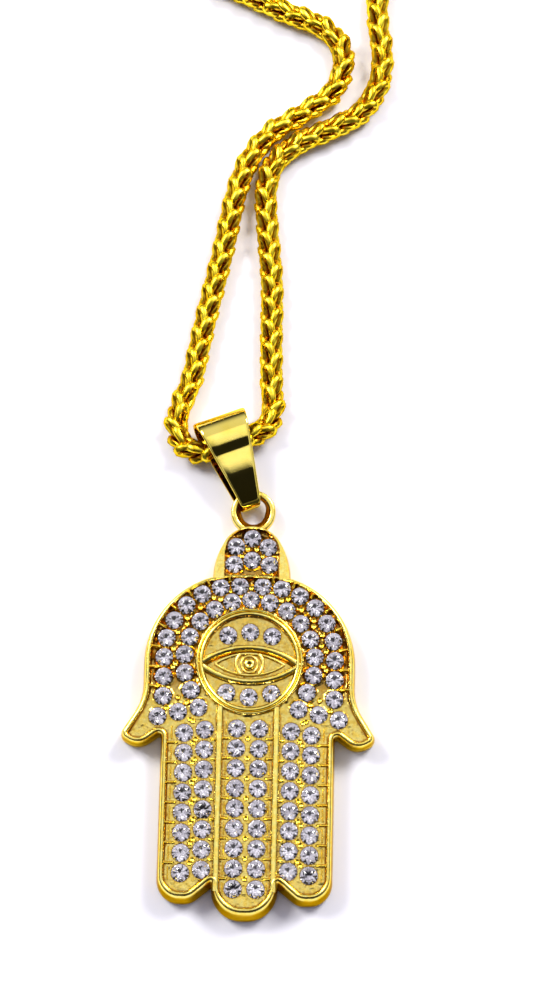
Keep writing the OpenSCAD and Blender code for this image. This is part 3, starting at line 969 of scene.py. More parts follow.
def lids(rise, half_w, upper_section, lower_section):
    """An upper and a lower lid that meet at the corners of the eye."""
    radius = (half_w * half_w + rise * rise) / (2 * rise)
    swing = math.degrees(math.asin(half_w / radius))
    upper = arc(0, EYE_Y + rise - radius, radius, 90 - swing, 90 + swing, 48)
    lower = arc(0, EYE_Y - rise + radius, radius, 270 - swing, 270 + swing, 48)
    return [sweep(upper, upper_section, False), sweep(lower, lower_section, False)]


def lid_section(reach):
    """Section of a lid that slopes down to the floor on one side, as far as it reaches."""
    half = LID_W / 2
    return [(half, RIDGE_FOOT), (half, LID_TOP - 0.15), (half - 0.04, LID_TOP),
            (half - 0.15, LID_TOP + 0.08), (0, LID_TOP + 0.1), (0.1 - half, LID_TOP + 0.05),
            (-half, LID_TOP - 0.07), (-half - reach, FLOOR_Z + 0.1), (-half - reach, RIDGE_FOOT)]


lower_lid = [(-w, z) for w, z in reversed(lid_section(0.14))]
eye_parts = lids(LID_RISE, lid_half_w, lid_section(0.3), lower_lid)
eye_parts += lids(LID_RISE - 0.7, lid_half_w - 1.7, INNER_LID, INNER_LID)
for middle in (0, 180):
    iris_arc = arc(0, EYE_Y, IRIS_R, middle - IRIS_SWING, middle + IRIS_SWING, 16)
    eye_parts.append(sweep(iris_arc, ridge(0.4, LID_TOP + 0.04), False))
eye_parts.append(sweep(circle(0, EYE_Y, PUPIL_RING_R, 40), ridge(0.2, LID_TOP - 0.02), True))
eye_parts.append(lathe(PUPIL, 28, 0, EYE_Y))


def eye_shade(places):
    """Painted shade: brown at the foot of the lines and in the pupil's pit."""
    return np.maximum(foot_shade(places), 0.8 * fade(off_axis(places, EYE_Y), 0.12, 0.25))


lines_mesh = shade_and_stain(new_mesh("eye_lines", *joined(eye_parts)), eye_shade)
add_piece("eye_lines", lines_mesh, rubbed_gold, sharp=60)

# %% [markdown]
# ## The loop
# The loop at the top is a flat ring with a rounded slope on its inside, painted brown as shade.

# %% Make the loop
LOOP_HOLE_R = 1.7
LOOP_W = 0.82
LOOP_SLOPE = 0.4
LOOP_R = LOOP_HOLE_R + LOOP_W / 2
LOOP_Y = DOME_TOP + 1.82
LOOP_Z = HAND_T / 2
# Each row: distance out from the loop's middle line, height above it
LOOP_SECTION = [(0.41, -0.3), (0.41, 0.32), (0.38, 0.47), (0.3, 0.57), (0.18, 0.6), (-0.1, 0.6),
                (-0.2, 0.54), (-0.3, 0.38), (-0.37, 0.18), (-0.41, -0.05), (-0.41, -0.35),
                (-0.34, -0.53), (-0.2, -0.6), (0.2, -0.6), (0.35, -0.52)]


def loop_shade(places):
    """Painted shade: brown inside the hole."""
    return 0.95 * fade(off_axis(places, LOOP_Y), LOOP_HOLE_R + 0.16, LOOP_HOLE_R + 0.32)


loop_points, loop_faces = sweep(
    circle(0, LOOP_Y, LOOP_R, 96), [(w, LOOP_Z + z) for w, z in LOOP_SECTION], True)
# Low down inside, the slope runs further in, but not at the top, where the bail's tip passes
for i, (x, y, z) in enumerate(loop_points):
    from_middle = math.hypot(x, y - LOOP_Y)
    share = smooth_step(LOOP_R - from_middle, 0.15, 0.4) * smooth_step(LOOP_Z + 0.5 - z, 0, 0.8)
    share = share * fade(y - LOOP_Y, -0.4, 1.6)
    nearer = 1 - LOOP_SLOPE * share / from_middle
    loop_points[i] = (x * nearer, LOOP_Y + (y - LOOP_Y) * nearer, z)
loop_mesh = shade_and_stain(new_mesh("top_loop", loop_points, loop_faces), loop_shade)
add_piece("top_loop", loop_mesh, rubbed_gold, sharp=60)

# %% [markdown]
# ## Setting things by Geometry Nodes
# Stones, beads and spurs repeat, so each is made once and a Geometry Nodes tree sets it at
# every place. The places are a cloud of points that carry a turn and a size. The tree ends by
# making the instances real and giving them their material, because an export keeps only plain
# meshes. A second material goes to the faces that carry a mark, for the foil under a stone.

# %% Build the setting tree


def geometry_tree(name, inputs):
    """A Geometry Nodes tree with a geometry in and out and the named inputs between."""
    tree = bpy.data.node_groups.new(name, "GeometryNodeTree")
    tree.interface.new_socket("Geometry", in_out="INPUT", socket_type="NodeSocketGeometry")
    tree.interface.new_socket("Geometry", in_out="OUTPUT", socket_type="NodeSocketGeometry")
    for label, kind, value in inputs:
        socket = tree.interface.new_socket(label, in_out="INPUT", socket_type=kind)
        if value is not None:
            socket.default_value = value
    return tree, tree.nodes.new("NodeGroupInput"), tree.nodes.new("NodeGroupOutput")


def attribute(tree, name, kind):
    """Reads a named attribute."""
    node = add_node(tree, "GeometryNodeInputNamedAttribute", {"Name": name}, data_type=kind)
    return node.outputs["Attribute"]


def made_real(tree, instances, finish):
    """Makes instances real and gives them their finish."""
    real = add_node(tree, "GeometryNodeRealizeInstances", {0: instances})
    finished = add_node(tree, "GeometryNodeSetMaterial", {
        "Geometry": real.outputs[0], "Material": finish})
    return finished.outputs[0]


setting, setting_in, setting_out = geometry_tree("set at places", [
    ("Shape", "NodeSocketObject", None), ("Finish", "NodeSocketMaterial", None),
    ("Marked Finish", "NodeSocketMaterial", None), ("Lean", "NodeSocketFloat", 0.0),
    ("Spin", "NodeSocketFloat", 0.0), ("Seed", "NodeSocketInt", 1)])
shape = add_node(setting, "GeometryNodeObjectInfo", {"Object": setting_in.outputs["Shape"]})
# Each thing leans and spins by chance, up to the given angles, on top of its own turn
chance = add_node(setting, "FunctionNodeRandomValue", data_type="FLOAT_VECTOR", inputs={
    "Min": (-1, -1, -1), "Max": (1, 1, 1), "Seed": setting_in.outputs["Seed"]})
limits = add_node(setting, "ShaderNodeCombineXYZ", {
    "X": setting_in.outputs["Lean"], "Y": setting_in.outputs["Lean"], "Z": setting_in.outputs["Spin"]})
by_chance = add_node(setting, "ShaderNodeVectorMath", operation="MULTIPLY", inputs={
    0: chance.outputs["Value"], 1: limits.outputs[0]})
own_turn = add_node(setting, "ShaderNodeCombineXYZ", {"Z": attribute(setting, "turn", "FLOAT")})
turns = add_node(setting, "ShaderNodeVectorMath", operation="ADD", inputs={
    0: by_chance.outputs[0], 1: own_turn.outputs[0]})
rotation = add_node(setting, "FunctionNodeEulerToRotation", {0: turns.outputs[0]})
setter = add_node(setting, "GeometryNodeInstanceOnPoints", {
    "Points": setting_in.outputs["Geometry"], "Instance": shape.outputs["Geometry"],
    "Rotation": rotation.outputs[0], "Scale": attribute(setting, "size", "FLOAT_VECTOR")})
finish_marked = add_node(setting, "GeometryNodeSetMaterial", {
    "Geometry": made_real(setting, setter.outputs[0], setting_in.outputs["Finish"]),
    "Selection": attribute(setting, "marked", "BOOLEAN"),
    "Material": setting_in.outputs["Marked Finish"]})
feed(setting, setting_out.inputs["Geometry"], finish_marked.outputs[0])
print("tree:", setting.name)

# %% Run a tree and keep its mesh


def kept_mesh(name, start, tree, values):
    """Runs a tree on a mesh and returns what it makes as a plain mesh."""
    carrier = bpy.data.objects.new(name + "_places", start)
    bpy.context.scene.collection.objects.link(carrier)
    modifier = carrier.modifiers.new("nodes", "NODES")
    modifier.node_group = tree
    names = {item.name: item.identifier for item in tree.interface.items_tree
             if item.item_type == "SOCKET" and item.in_out == "INPUT"}
    for label, value in values.items():
        modifier[names[label]] = value
    carrier.update_tag()
    evaluated = carrier.evaluated_get(bpy.context.evaluated_depsgraph_get())
    mesh = bpy.data.meshes.new_from_object(evaluated)
    mesh.name = name
    carrier.modifiers.clear()
    bpy.data.objects.remove(carrier)
    return mesh


def places_mesh(places):
    """A cloud of points. Each place is (x, y, z, turn in degrees, size along x, y and z)."""
    mesh = bpy.data.meshes.new("places")
    mesh.from_pydata([Vector(p[:3]) * MM for p in places], [], [])
    turn = mesh.attributes.new("turn", "FLOAT", "POINT")
    turn.data.foreach_set("value", [math.radians(p[3]) for p in places])
    size = mesh.attributes.new("size", "FLOAT_VECTOR", "POINT")
    size.data.foreach_set("vector", [v for p in places for v in p[4:7]])
    return mesh


def set_shape(name, shape_mesh, places, finish, marked=None, lean=0.0, spin=0.0, seed=1):
    """Sets one shape at every place and returns the plain mesh."""
    model = bpy.data.objects.new(name + "_shape", shape_mesh)
    values = {"Shape": model, "Finish": finish, "Marked Finish": marked or finish,
              "Lean": math.radians(lean), "Spin": math.radians(spin), "Seed": seed}
    mesh = kept_mesh(name, places_mesh(places), setting, values)
    bpy.data.objects.remove(model)
    return mesh


# %% [markdown]
# ## The stones
# Each stone is a small round brilliant: a flat table, eight star facets, eight kites and
# sixteen girdle facets above, and the same again below, where a silver foil backs it. Light
# goes in through the crown, bounces twice off the foil and comes out somewhere else, which
# breaks the dark patch and the bright window into splinters. So the crown is clear glass and
# the faces below the girdle carry the foil's finish.

# %% Cut a stone
CROWN_H = 0.32
PAVILION_H = 0.88
TABLE = 0.5
STAR = 0.75
LOWER = 0.36
STONE_GIRDLE = 0.03
EIGHTH = math.pi / 4


def stone_point(share, eighths, z):
    """A point at a share of the girdle's radius."""
    angle = eighths * EIGHTH
    return (share * STONE_D / 2 * math.cos(angle), share * STONE_D / 2 * math.sin(angle), z)


half_cos = math.cos(EIGHTH / 2)
star_z = CROWN_H * (1 - (STAR * half_cos - TABLE) / (1 - TABLE))
lower_z = -STONE_GIRDLE - (PAVILION_H - STONE_GIRDLE) * (1 - LOWER * half_cos)
stone_points = [stone_point(TABLE, k, CROWN_H) for k in range(8)]
stone_points += [stone_point(STAR, k + 0.5, star_z) for k in range(8)]
stone_points += [stone_point(1, k / 2, 0) for k in range(16)]
stone_points += [stone_point(1, k / 2, -STONE_GIRDLE) for k in range(16)]
stone_points += [stone_point(LOWER, k + 0.5, lower_z) for k in range(8)]
stone_points.append((0, 0, -PAVILION_H))
# The first point of the table, the stars, the girdle's two rings, the lower facets, and the tip
T, S, G, H, L, CULET = 0, 8, 16, 32, 48, 56
stone_faces = [tuple(range(8))]
for k in range(8):
    k1 = (k + 1) % 8
    k0 = (k - 1) % 8
    g = 2 * k
    stone_faces.append((T + k, S + k, T + k1))
    stone_faces.append((T + k, S + k0, G + g, S + k))
    stone_faces.append((S + k, G + g, G + g + 1))
    stone_faces.append((S + k, G + g + 1, G + (g + 2) % 16))
first_backed = len(stone_faces)
for k in range(16):
    k1 = (k + 1) % 16
    stone_faces.append((G + k, H + k, H + k1, G + k1))
for k in range(8):
    k1 = (k + 1) % 8
    k0 = (k - 1) % 8
    g = 2 * k
    stone_faces.append((CULET, L + k0, H + g, L + k))
    stone_faces.append((L + k, H + g, H + g + 1))
    stone_faces.append((L + k, H + g + 1, H + (g + 2) % 16))
stone_mesh = new_mesh("stone", stone_points, stone_faces)
marked_faces = stone_mesh.attributes.new("marked", "BOOLEAN", "FACE")
marked_faces.data.foreach_set("value", [i >= first_backed for i in range(len(stone_faces))])
print("facets on a stone:", len(stone_faces))

# %% Make the stone's finishes
crystal, crystal_tree, crystal_shader = new_finish("clear crystal", {
    "Base Color": (0.99, 0.99, 1.0, 1), "Metallic": 0, "Transmission Weight": 1, "IOR": 1.56})
grained(crystal_tree, crystal_shader, 5000, (0.0, 0.02))
foil, foil_tree, foil_shader = new_finish("silver foil", {"Metallic": 1})
foil_color = tinted(foil_tree, (1.0, 0.99, 0.99, 1), (0.7, 0.68, 0.69, 1), 1500)
feed(foil_tree, foil_shader.inputs["Base Color"], foil_color)
grained(foil_tree, foil_shader, 8000, (0.02, 0.08))
print("finishes:", crystal.name, foil.name)

# %% Set the stones
stone_at = [(p.x, p.y, GIRDLE_Z, 0, STONE_SCALE, STONE_SCALE, 1) for p in stone_places]
stones_mesh = set_shape("stones", stone_mesh, stone_at, crystal, foil, lean=5, spin=40, seed=7)
add_piece("stones", stones_mesh, None, sharp=1, replaced=["stones"])

# %% [markdown]
# ## Beads, spurs and frames
# A caster copies what a setter does by hand: a bead of metal stands in each hollow between
# three or four stones, a short spur runs in from the rim or a bar between each pair, and a
# thin frame follows the stones beside it. The hollows are found by joining the stones'
# centres into triangles: the middle of each small triangle is a hollow, and the room there
# gives the bead's size.

# %% Find the hollows between the stones
STONE_R = STONE_D / 2
# The most room that a hollow has between its stones
WIDEST_ROOM = 0.75
# Two hollows closer than this are one
SAME_HOLLOW = 0.35
# How far a bead's middle keeps from the middle of the ring or a bar, and from the arch's top
OFF_RING = 0.75
OFF_BAR = 0.6
OFF_ARCH = 1.0


def round_triangle(a, b, c):
    """Middle and radius of the circle through three points."""
    d = 2 * (a.x * (b.y - c.y) + b.x * (c.y - a.y) + c.x * (a.y - b.y))
    if abs(d) < 1e-6:
        return None, 1e9
    aa, bb, cc = (p.length_squared for p in (a, b, c))
    x = (aa * (b.y - c.y) + bb * (c.y - a.y) + cc * (a.y - b.y)) / d
    y = (aa * (c.x - b.x) + bb * (a.x - c.x) + cc * (b.x - a.x)) / d
    middle = Vector((x, y))
    return middle, (middle - a).length


def on_metal(p):
    """Whether a point is too near the eye's ring, a bar or the top of the arch for a bead."""
    near_ring = abs(p.length - (EYE_D - EYE_RING_W) / 2) < OFF_RING
    near_bar = abs(abs(p.x) - bar_x) < OFF_BAR and p.y < bar_to
    return near_ring or near_bar or abs(p.y - PALM_TOP) < OFF_ARCH


hollows = []
net = geometry.delaunay_2d_cdt(stone_places, [], [], 0, 1e-5)
for corners in net[2]:
    middle, radius = round_triangle(*(net[0][v] for v in corners))
    if radius - STONE_R > WIDEST_ROOM or on_metal(middle):
        continue
    if any((middle - other).length < SAME_HOLLOW for other, _ in hollows):
        continue
    hollows.append((middle, radius - STONE_R))
print("hollows:", len(hollows))

# %% Set the beads
# A bead one unit in radius, with a dimple on top where the punch pressed it
BEAD_PROFILE = [(1.0, -0.6), (1.0, 0.25), (0.9, 0.6), (0.68, 0.82), (0.45, 0.78), (0.2, 0.55)]
# Painted shade at each bead's foot
bead_mesh = shade_and_stain(new_mesh("bead", *lathe(BEAD_PROFILE, 10)), low_shade(0.9, 0.2, 0.6))
BEAD_SHARE = 0.85
BEAD_R = (0.17, 0.32)
BEAD_SLENDER = 1.2
BEAD_LEAST_RISE = 0.3
bead_at = []
for middle, room in hollows:
    size = min(max(room * BEAD_SHARE, BEAD_R[0]), BEAD_R[1])
    rise = max(size * BEAD_SLENDER, BEAD_LEAST_RISE)
    bead_at.append((middle.x, middle.y, FLOOR_Z, 0, size, size, rise))
beads_mesh = set_shape("beads", bead_mesh, bead_at, cast_gold, spin=20, seed=3)
add_piece("beads", beads_mesh, None, sharp=50)

# %% Set the spurs and frames
# A block with a rounded top and a tapered end, one unit long from its foot at the origin, one
# wide and one high. Each station is a length and a share of the width.
RIB_STATIONS = ((0, 1.0), (0.82, 1.0), (0.95, 0.8), (1.0, 0.4))
RIB_SECTION = ((-0.5, -0.6), (-0.5, 0.4), (-0.36, 0.8), (-0.14, 1.0),
               (0.14, 1.0), (0.36, 0.8), (0.5, 0.4), (0.5, -0.6))
rib_points = [(x, y * share, z if z < 0 else z * (0.4 + 0.6 * share))
              for x, share in RIB_STATIONS for y, z in RIB_SECTION]
rib_faces = tube_faces(len(RIB_STATIONS), len(RIB_SECTION), False)
# Painted shade at the foot of each spur and frame
rib_mesh = shade_and_stain(new_mesh("rib", rib_points, rib_faces), low_shade(0.7, 0.1, 0.6))

SPUR_W = 0.34
SPUR_RISE = 0.55
# How far a spur's end stays from the middle line of the stones that it points at
SPUR_OFF_COLUMN = 0.65
SPUR_OFF_ROW = 0.42
FRAME_L = 1.44
FRAME_W = 0.16
FRAME_RISE = 0.42
spur_at = []
frame_at = []


def add_spur(x, y, turn, length):
    """A spur from (x, y), pointing along the turn in degrees."""
    spur_at.append((x, y, FLOOR_Z, turn, length, SPUR_W, SPUR_RISE))


def add_frames(x, y, count):
    """Thin frames up a column of stones, one beside each."""
    for i in range(count):
        low_y = y - i * ROW_PITCH - FRAME_L / 2
        frame_at.append((x, low_y, FLOOR_Z, 90, FRAME_L, FRAME_W, FRAME_RISE))


# Each row: column, where the metal beside it starts, the way to the stones, where the frame is
bar_in = bar_x - BAR_W / 2
bar_out = bar_x + BAR_W / 2
rim_in = FINGERS_W / 2 - RIM_W
beside = [(columns[0], bar_in + 0.1, 180, bar_in - 0.34), (columns[1], bar_out - 0.1, 0, None),
          (columns[2], rim_in + 0.1, 180, rim_in - 0.42)]
for (x, y, count), metal_x, turn, frame_x in beside:
    length = abs(metal_x - x) - SPUR_OFF_COLUMN
    for i in range(count - 1):
        gap_y = y - (i + 0.5) * ROW_PITCH
        add_spur(metal_x, gap_y, turn, length)
        add_spur(-metal_x, gap_y, 180 - turn, length)
    if frame_x:
        add_frames(frame_x, y, count)
        add_frames(-frame_x, y, count)
# Between the outer row's stones, each spur starts as far out as the rim allows
rim_foot = flat_ring(rim_half, RIM_W - 0.08)
outs = [0.5 + 0.02 * k for k in range(56)]
for i in range(OUTER_COUNT - 1):
    middle_s = OUTER_FIRST + (i + 0.5) * OUTER_PITCH
    tries = np.array([tuple(on_arch(middle_s, out)[0]) for out in outs])
    out = outs[np.flatnonzero(inside(tries, rim_foot)).max()]
    foot, turn = on_arch(middle_s, out)
    add_spur(foot.x, foot.y, turn + 180, out - SPUR_OFF_ROW)
    add_spur(-foot.x, foot.y, -turn, out - SPUR_OFF_ROW)
for name, places in (("spurs", spur_at), ("cell_frames", frame_at)):
    add_piece(name, set_shape(name, rib_mesh, places, cast_gold), None, sharp=50)

# %% [markdown]
# ## The bail
# The bail is one strip of metal folded over, wide at the top where the chain runs through and
# narrow at the tip that goes through the loop. Its front leaf isn't flat: its slope changes
# along it, so the mirror finish shows bands of black and bright. The leaf's side view is drawn
# by its slope, station by station, and the strip is swept along it with a small bevel on its
# outer edges.

# %% Draw the bail's side view
# Along the bail from the loop's middle: the middles of the round tip and the round top fold
TIP_S = 1.67
TIP_R = 1.25
TIP_Z = LOOP_Z
TOP_S = 9.47
TOP_R = 2.3
TOP_Z = TOP_R + 0.05
# Each row: a length along the bail and the front leaf's slope there, in degrees
LEAF_SLOPES = [(1.4, 19), (4.2, 19), (4.5, 8.4), (5.0, 7), (5.5, 6), (5.8, 5.3), (6.95, 5.3),
               (7.2, 15), (7.8, 15), (8.05, 7), (9.2, 5)]


def fold(s, z, radius, start, end, count):
    """Stations round a fold: length along the bail, height, and the way out in degrees."""
    return [(s + radius * math.cos(math.radians(a)), z + radius * math.sin(math.radians(a)), a)
            for a in np.linspace(start, end, count)]


leaf_from = TIP_S - TIP_R * math.sin(math.radians(LEAF_SLOPES[0][1]))
leaf_to = TOP_S - TOP_R * math.sin(math.radians(LEAF_SLOPES[-1][1]))
leaf_s = np.linspace(leaf_from, leaf_to, 60)
slopes = np.interp(leaf_s, [s for s, _ in LEAF_SLOPES], [a for _, a in LEAF_SLOPES])
start_z = TIP_Z + TIP_R * math.cos(math.radians(slopes[0]))
end_z = TOP_Z + TOP_R * math.cos(math.radians(slopes[-1]))
steps = np.tan(np.radians((slopes[1:] + slopes[:-1]) / 2)) * np.diff(leaf_s)
leaf_z = start_z + np.concatenate([[0], np.cumsum(steps)])
# What the slopes leave over is shared out along the leaf, so that it meets the fold
leaf_z += (end_z - leaf_z[-1]) * (leaf_s - leaf_from) / (leaf_to - leaf_from)

back_lean = math.degrees(math.asin((TOP_R - TIP_R) / math.dist((TIP_S, TIP_Z), (TOP_S, TOP_Z))))
back_way = math.degrees(math.atan2(TOP_Z - TIP_Z, TOP_S - TIP_S)) - back_lean - 90
bail_line = [(s, z, 90 + a) for s, z, a in zip(leaf_s, leaf_z, slopes)]
bail_line += fold(TOP_S, TOP_Z, TOP_R, 90 + slopes[-1], back_way, 44)[1:]
bail_line += fold(TIP_S, TIP_Z, TIP_R, back_way, slopes[0] - 270, 36)[:-1]
print("the leaf rises from", round(float(leaf_z[0]), 2), "to", round(float(leaf_z[-1]), 2), "mm")

# %% Sweep the bail's strip
BAIL_TIP_W = 2.15
BAIL_FOLD_W = 5.4
BAIL_TOP_W = 6.1
BAIL_LEAN = 21
BAIL_SHIFT = 0.08
BACK_SHIFT = 0.3
# Painted shade on the strip's inner face, which the folds hide from the light
INSIDE_SHADE = 0.9
width_at = [TIP_S - TIP_R, TOP_S, TOP_S + TOP_R]
STRIP_T = 0.5
# Each row: share towards the side, distance in from the side, depth below the outer face
STRIP_HALF = [(0.55, 0, 0), (1, 0.34, 0), (1, 0.14, 0.02), (1, 0.05, 0.07), (1, 0, 0.16),
              (1, 0, 0.42), (1, 0.06, STRIP_T), (0.55, 0, STRIP_T)]
strip_section = [(0, 0, 0)] + STRIP_HALF + [(0, 0, STRIP_T)]
strip_section += [(-share, inset, depth) for share, inset, depth in reversed(STRIP_HALF)]
bail_points = []
bail_shade = []
for s, z, angle in bail_line:
    half_w = np.interp(s, width_at, [BAIL_TIP_W, BAIL_FOLD_W, BAIL_TOP_W]) / 2
    out_s = math.cos(math.radians(angle))
    out_z = math.sin(math.radians(angle))
    # The back leaf lies a little to one side, so the tip's fold shows beside the front leaf
    shift = BAIL_SHIFT - BACK_SHIFT * (1 - out_z) / 2
    for share, inset, depth in strip_section:
        side = share * half_w - math.copysign(inset, share)
        bail_points.append((side + shift, s - out_s * depth, z - out_z * depth))
        bail_shade.append(INSIDE_SHADE if depth == STRIP_T else 0.0)
bail_faces = tube_faces(len(bail_line), len(strip_section), True)
hang = Matrix.Translation((0, LOOP_Y, 0)) @ Matrix.Rotation(math.radians(BAIL_LEAN), 4, "Z")
bail_points = [tuple(hang @ Vector(p)) for p in bail_points]
bail_mesh = shade_and_stain(new_mesh("bail", bail_points, bail_faces), lambda places: bail_shade)
add_piece("bail", bail_mesh, mirror_gold, sharp=35, replaced=["bail"])

# %% [markdown]
# ## The wheat chain
# A wheat chain is woven from long oval links. Each is pinched at its middle and folded into a
# U, and its two ends stand up and out. The next link threads through both ends, turned by a
# quarter. Seen from a side, the ends make slanted grains like an ear of wheat. One link is
# drawn as a closed wire, and a Geometry Nodes tree lays the links along the chain's line.

# %% Draw one link
WIRE_R = 0.46
LINK_REACH = 0.97
LINK_RISE = 2.2
LINK_PINCH = 0.42
LINK_BULGE = 0.6


def link_line(t):
    """A point on the link's wire, t from 0 to 1 round it. The pinch is low, the ends are high."""
    c = math.cos(2 * math.pi * t)
    s = math.sin(2 * math.pi * t)
    far = abs(c)
    lift = (math.sqrt(c * c + 0.04) - 0.2) / (math.sqrt(1.04) - 0.2)
    x = math.copysign(LINK_REACH * far ** 0.9, c)
    y = s * (LINK_PINCH + LINK_BULGE * far * far)
    return Vector((x, y, LINK_RISE * lift))


def wire_link(name, steps, sides):
    """A closed wire along the link's line."""
    line = [link_line(i / steps) for i in range(steps)]
    points = []
    for i, p in enumerate(line):
        way = (line[(i + 1) % steps] - line[i - 1]).normalized()
        out = (p - Vector((0, 0, LINK_RISE * 0.6))).normalized()
        across = way.cross(out).normalized()
        out = across.cross(way)
        for k in range(sides):
            a = 2 * math.pi * k / sides
            points.append(tuple(p + WIRE_R * (math.cos(a) * out + math.sin(a) * across)))
    return new_mesh(name, points, tube_faces(steps, sides, True))


def link_shade(places):
    """Painted shade: brown towards the chain's middle line, where the links cover each other."""
    return fade(off_axis(places), 0.72, 1.15)


fine_link = shade_and_stain(wire_link("fine_link", 18, 6), link_shade)
plain_link = shade_and_stain(wire_link("plain_link", 12, 5), link_shade)
print("faces on a link:", len(fine_link.polygons), "and", len(plain_link.polygons))

# %% Draw the chain's line
CLASP_X = 5
CLASP_Y = 240
CLASP_Z = 1.96
CHAIN_END = 8
LEAD = 5
CHAIN_Z = 1.45
# Each point: x, y and its height, where that isn't the height of a chain that lies flat
ROUTE = [
    (CLASP_X - CHAIN_END, CLASP_Y, CLASP_Z), (CLASP_X - CHAIN_END - LEAD, CLASP_Y, CLASP_Z),
    (-16, 238.5, 1.7), (-25.5, 235.5), (-34.5, 230.5), (-43, 224), (-51, 215.5), (-58, 206),
    (-63.5, 196), (-67.5, 185.5), (-69.5, 174.5), (-70, 163.5), (-69, 152.5), (-66, 141.5),
    (-62, 131), (-56.5, 121), (-49.5, 112), (-41.5, 104), (-32.5, 96.5), (-23, 90.5), (-12.5, 85),
    (-4, 81), (2.9, 77.8), (6.9, 75.9), (8.8, 73.6), (9.1, 71), (7.7, 67.8), (4.2, 65),
    (0.7, 62.4), (-1.6, 59), (-2.8, 55.5), (-4.4, 47.5), (-6.1, 39.5), (-7.5, 32.5),
    (-8.6, 28.6, 1.5), (-8.55, 26.4, 1.6), (-7.3, 24.65, 1.8), (-5.3, 24.3, 2.1),
    (-3, 25.15, 2.25), (-0.7, 26, 2.1), (0.85, 27.1, 1.8), (1.6, 28.8, 1.6), (1.7, 31, 1.5),
    (1.6, 37), (1.5, 44), (0.9, 50.5), (0.6, 55), (1.3, 58.4), (3.8, 61.2), (7.4, 63.2),
    (10.8, 65.2), (13.1, 68.4), (13.8, 72), (13.5, 75.6), (13.3, 79), (14.3, 83.5), (17.5, 88.5),
    (23.5, 93), (32, 97.5), (41.5, 102.5), (51, 109), (59.5, 117), (66.5, 126.5), (72, 137),
    (76, 148), (78, 159.5), (78, 171), (76.5, 182.5), (73, 193.5), (68, 204), (61.5, 213.5),
    (53.5, 222), (44.5, 229.5), (35, 235), (26, 238.5, 1.7),
    (CLASP_X + CHAIN_END + LEAD, CLASP_Y, CLASP_Z), (CLASP_X + CHAIN_END, CLASP_Y, CLASP_Z)]
LINK_STEP = 1.33
IN_BAIL = (-3, 25.15, 2.25)


def smooth_line(points, per_span):
    """A smooth line through the points (Catmull-Rom, spaced by the root of the distance)."""
    ends = [2 * points[0] - points[1]] + points + [2 * points[-1] - points[-2]]
    line = []
    for p0, p1, p2, p3 in zip(ends, ends[1:], ends[2:], ends[3:]):
        t0 = 0.0
        t1 = t0 + math.sqrt((p1 - p0).length)
        t2 = t1 + math.sqrt((p2 - p1).length)
        t3 = t2 + math.sqrt((p3 - p2).length)
        for k in range(per_span):
            t = t1 + (t2 - t1) * k / per_span
            a1 = p0.lerp(p1, (t - t0) / (t1 - t0))
            a2 = p1.lerp(p2, (t - t1) / (t2 - t1))
            a3 = p2.lerp(p3, (t - t2) / (t3 - t2))
            b1 = a1.lerp(a2, (t - t0) / (t2 - t0))
            b2 = a2.lerp(a3, (t - t1) / (t3 - t1))
            line.append(b1.lerp(b2, (t - t1) / (t2 - t1)))
    return line + [points[-1]]


def spaced(line, step):
    """The same line as points a fixed step apart, as near as a whole number of steps allows."""
    lengths = np.concatenate([[0], np.cumsum([(b - a).length for a, b in zip(line, line[1:])])])
    count = round(lengths[-1] / step)
    wanted = np.linspace(0, lengths[-1], count + 1)
    axes = [np.interp(wanted, lengths, [p[i] for p in line]) for i in range(3)]
    return [Vector(p) for p in zip(*axes)], lengths[-1]


route = [Vector(p if len(p) == 3 else (*p, CHAIN_Z)) for p in ROUTE]
chain_points, chain_length = spaced(smooth_line(route, 12), LINK_STEP)
print("chain:", round(chain_length, 1), "mm,", len(chain_points), "links")

# %% Lay the links
laying, laying_in, laying_out = geometry_tree("lay the links", [
    ("Link", "NodeSocketObject", None), ("Finish", "NodeSocketMaterial", None)])
link_shape = add_node(laying, "GeometryNodeObjectInfo", {"Object": laying_in.outputs["Link"]})
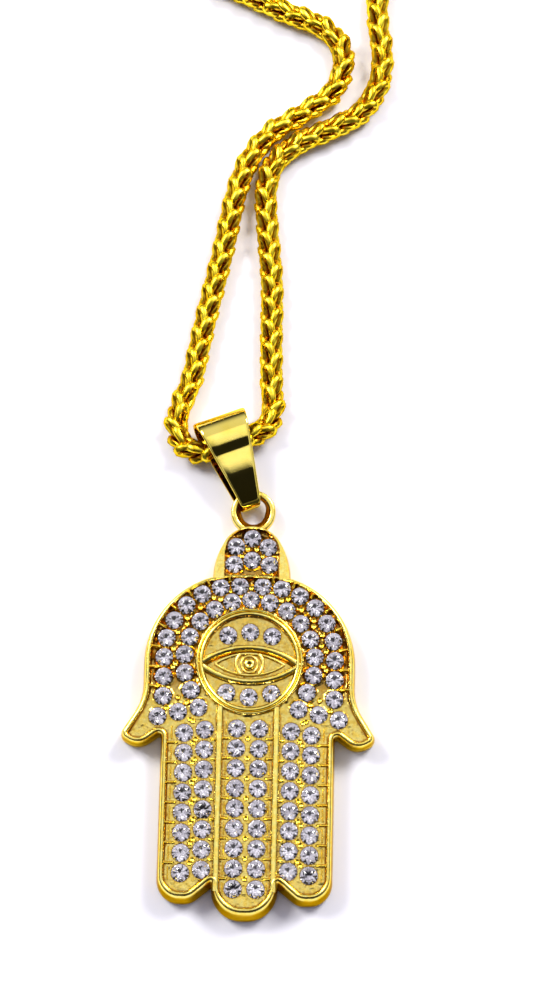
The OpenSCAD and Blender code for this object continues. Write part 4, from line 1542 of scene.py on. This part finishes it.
# A link stands along its heading, and is then rolled about it by its turn
stand = add_node(laying, "FunctionNodeAxesToRotation", primary_axis="Z", secondary_axis="Y", inputs={
    "Primary Axis": attribute(laying, "heading", "FLOAT_VECTOR"), "Secondary Axis": (0, 0, 1)})
roll_parts = add_node(laying, "ShaderNodeCombineXYZ", {"Z": attribute(laying, "turn", "FLOAT")})
roll = add_node(laying, "FunctionNodeEulerToRotation", {0: roll_parts.outputs[0]})
rolled = add_node(laying, "FunctionNodeRotateRotation", rotation_space="LOCAL", inputs={
    0: stand.outputs[0], 1: roll.outputs[0]})
layer = add_node(laying, "GeometryNodeInstanceOnPoints", {
    "Points": laying_in.outputs["Geometry"], "Instance": link_shape.outputs["Geometry"],
    "Rotation": rolled.outputs[0]})
feed(laying, laying_out.inputs["Geometry"],
     made_real(laying, layer.outputs[0], laying_in.outputs["Finish"]))

CHAIN_ROLL = 45
ROLL_APART = 7
in_bail = min(range(len(chain_points)), key=lambda i: (chain_points[i] - Vector(IN_BAIL)).length)


def lay_links(name, link, numbers):
    """Lays a link at each numbered point. Both strands' links open away from the bail."""
    mesh = bpy.data.meshes.new("line")
    mesh.from_pydata([chain_points[i] * MM for i in numbers], [], [])
    last = len(chain_points) - 1
    sides = [-1 if i < in_bail else 1 for i in numbers]
    ways = [side * (chain_points[min(i + 1, last)] - chain_points[max(i - 1, 0)]).normalized()
            for i, side in zip(numbers, sides)]
    way = mesh.attributes.new("heading", "FLOAT_VECTOR", "POINT")
    way.data.foreach_set("vector", [c for w in ways for c in w])
    turn = mesh.attributes.new("turn", "FLOAT", "POINT")
    turn.data.foreach_set("value", [math.radians(90 * (i % 2) + CHAIN_ROLL + side * ROLL_APART)
                                    for i, side in zip(numbers, sides)])
    model = bpy.data.objects.new(name + "_shape", link)
    result = kept_mesh(name, mesh, laying, {"Link": model, "Finish": wire_gold})
    bpy.data.objects.remove(model)
    return result


VIEW_END_Y = 92
near_links = [i for i, p in enumerate(chain_points) if p.y < VIEW_END_Y]
far_links = [i for i, p in enumerate(chain_points) if p.y >= VIEW_END_Y]
for name, link, numbers in (("chain_front", fine_link, near_links),
                            ("chain_back", plain_link, far_links)):
    add_piece(name, lay_links(name, link, numbers), None, sharp=60, replaced=["chain"])

# %% [markdown]
# ## The clasp
# The clasp lies at the far end of the chain, out of the picture. Its CAD shape is right as it
# is, so it stays and only gets the gold finish.

# %% Finish the clasp
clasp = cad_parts["clasp"]
clasp.data.materials.clear()
clasp.data.materials.append(cast_gold)
print("clasp keeps its CAD shape,", len(clasp.data.polygons), "faces")
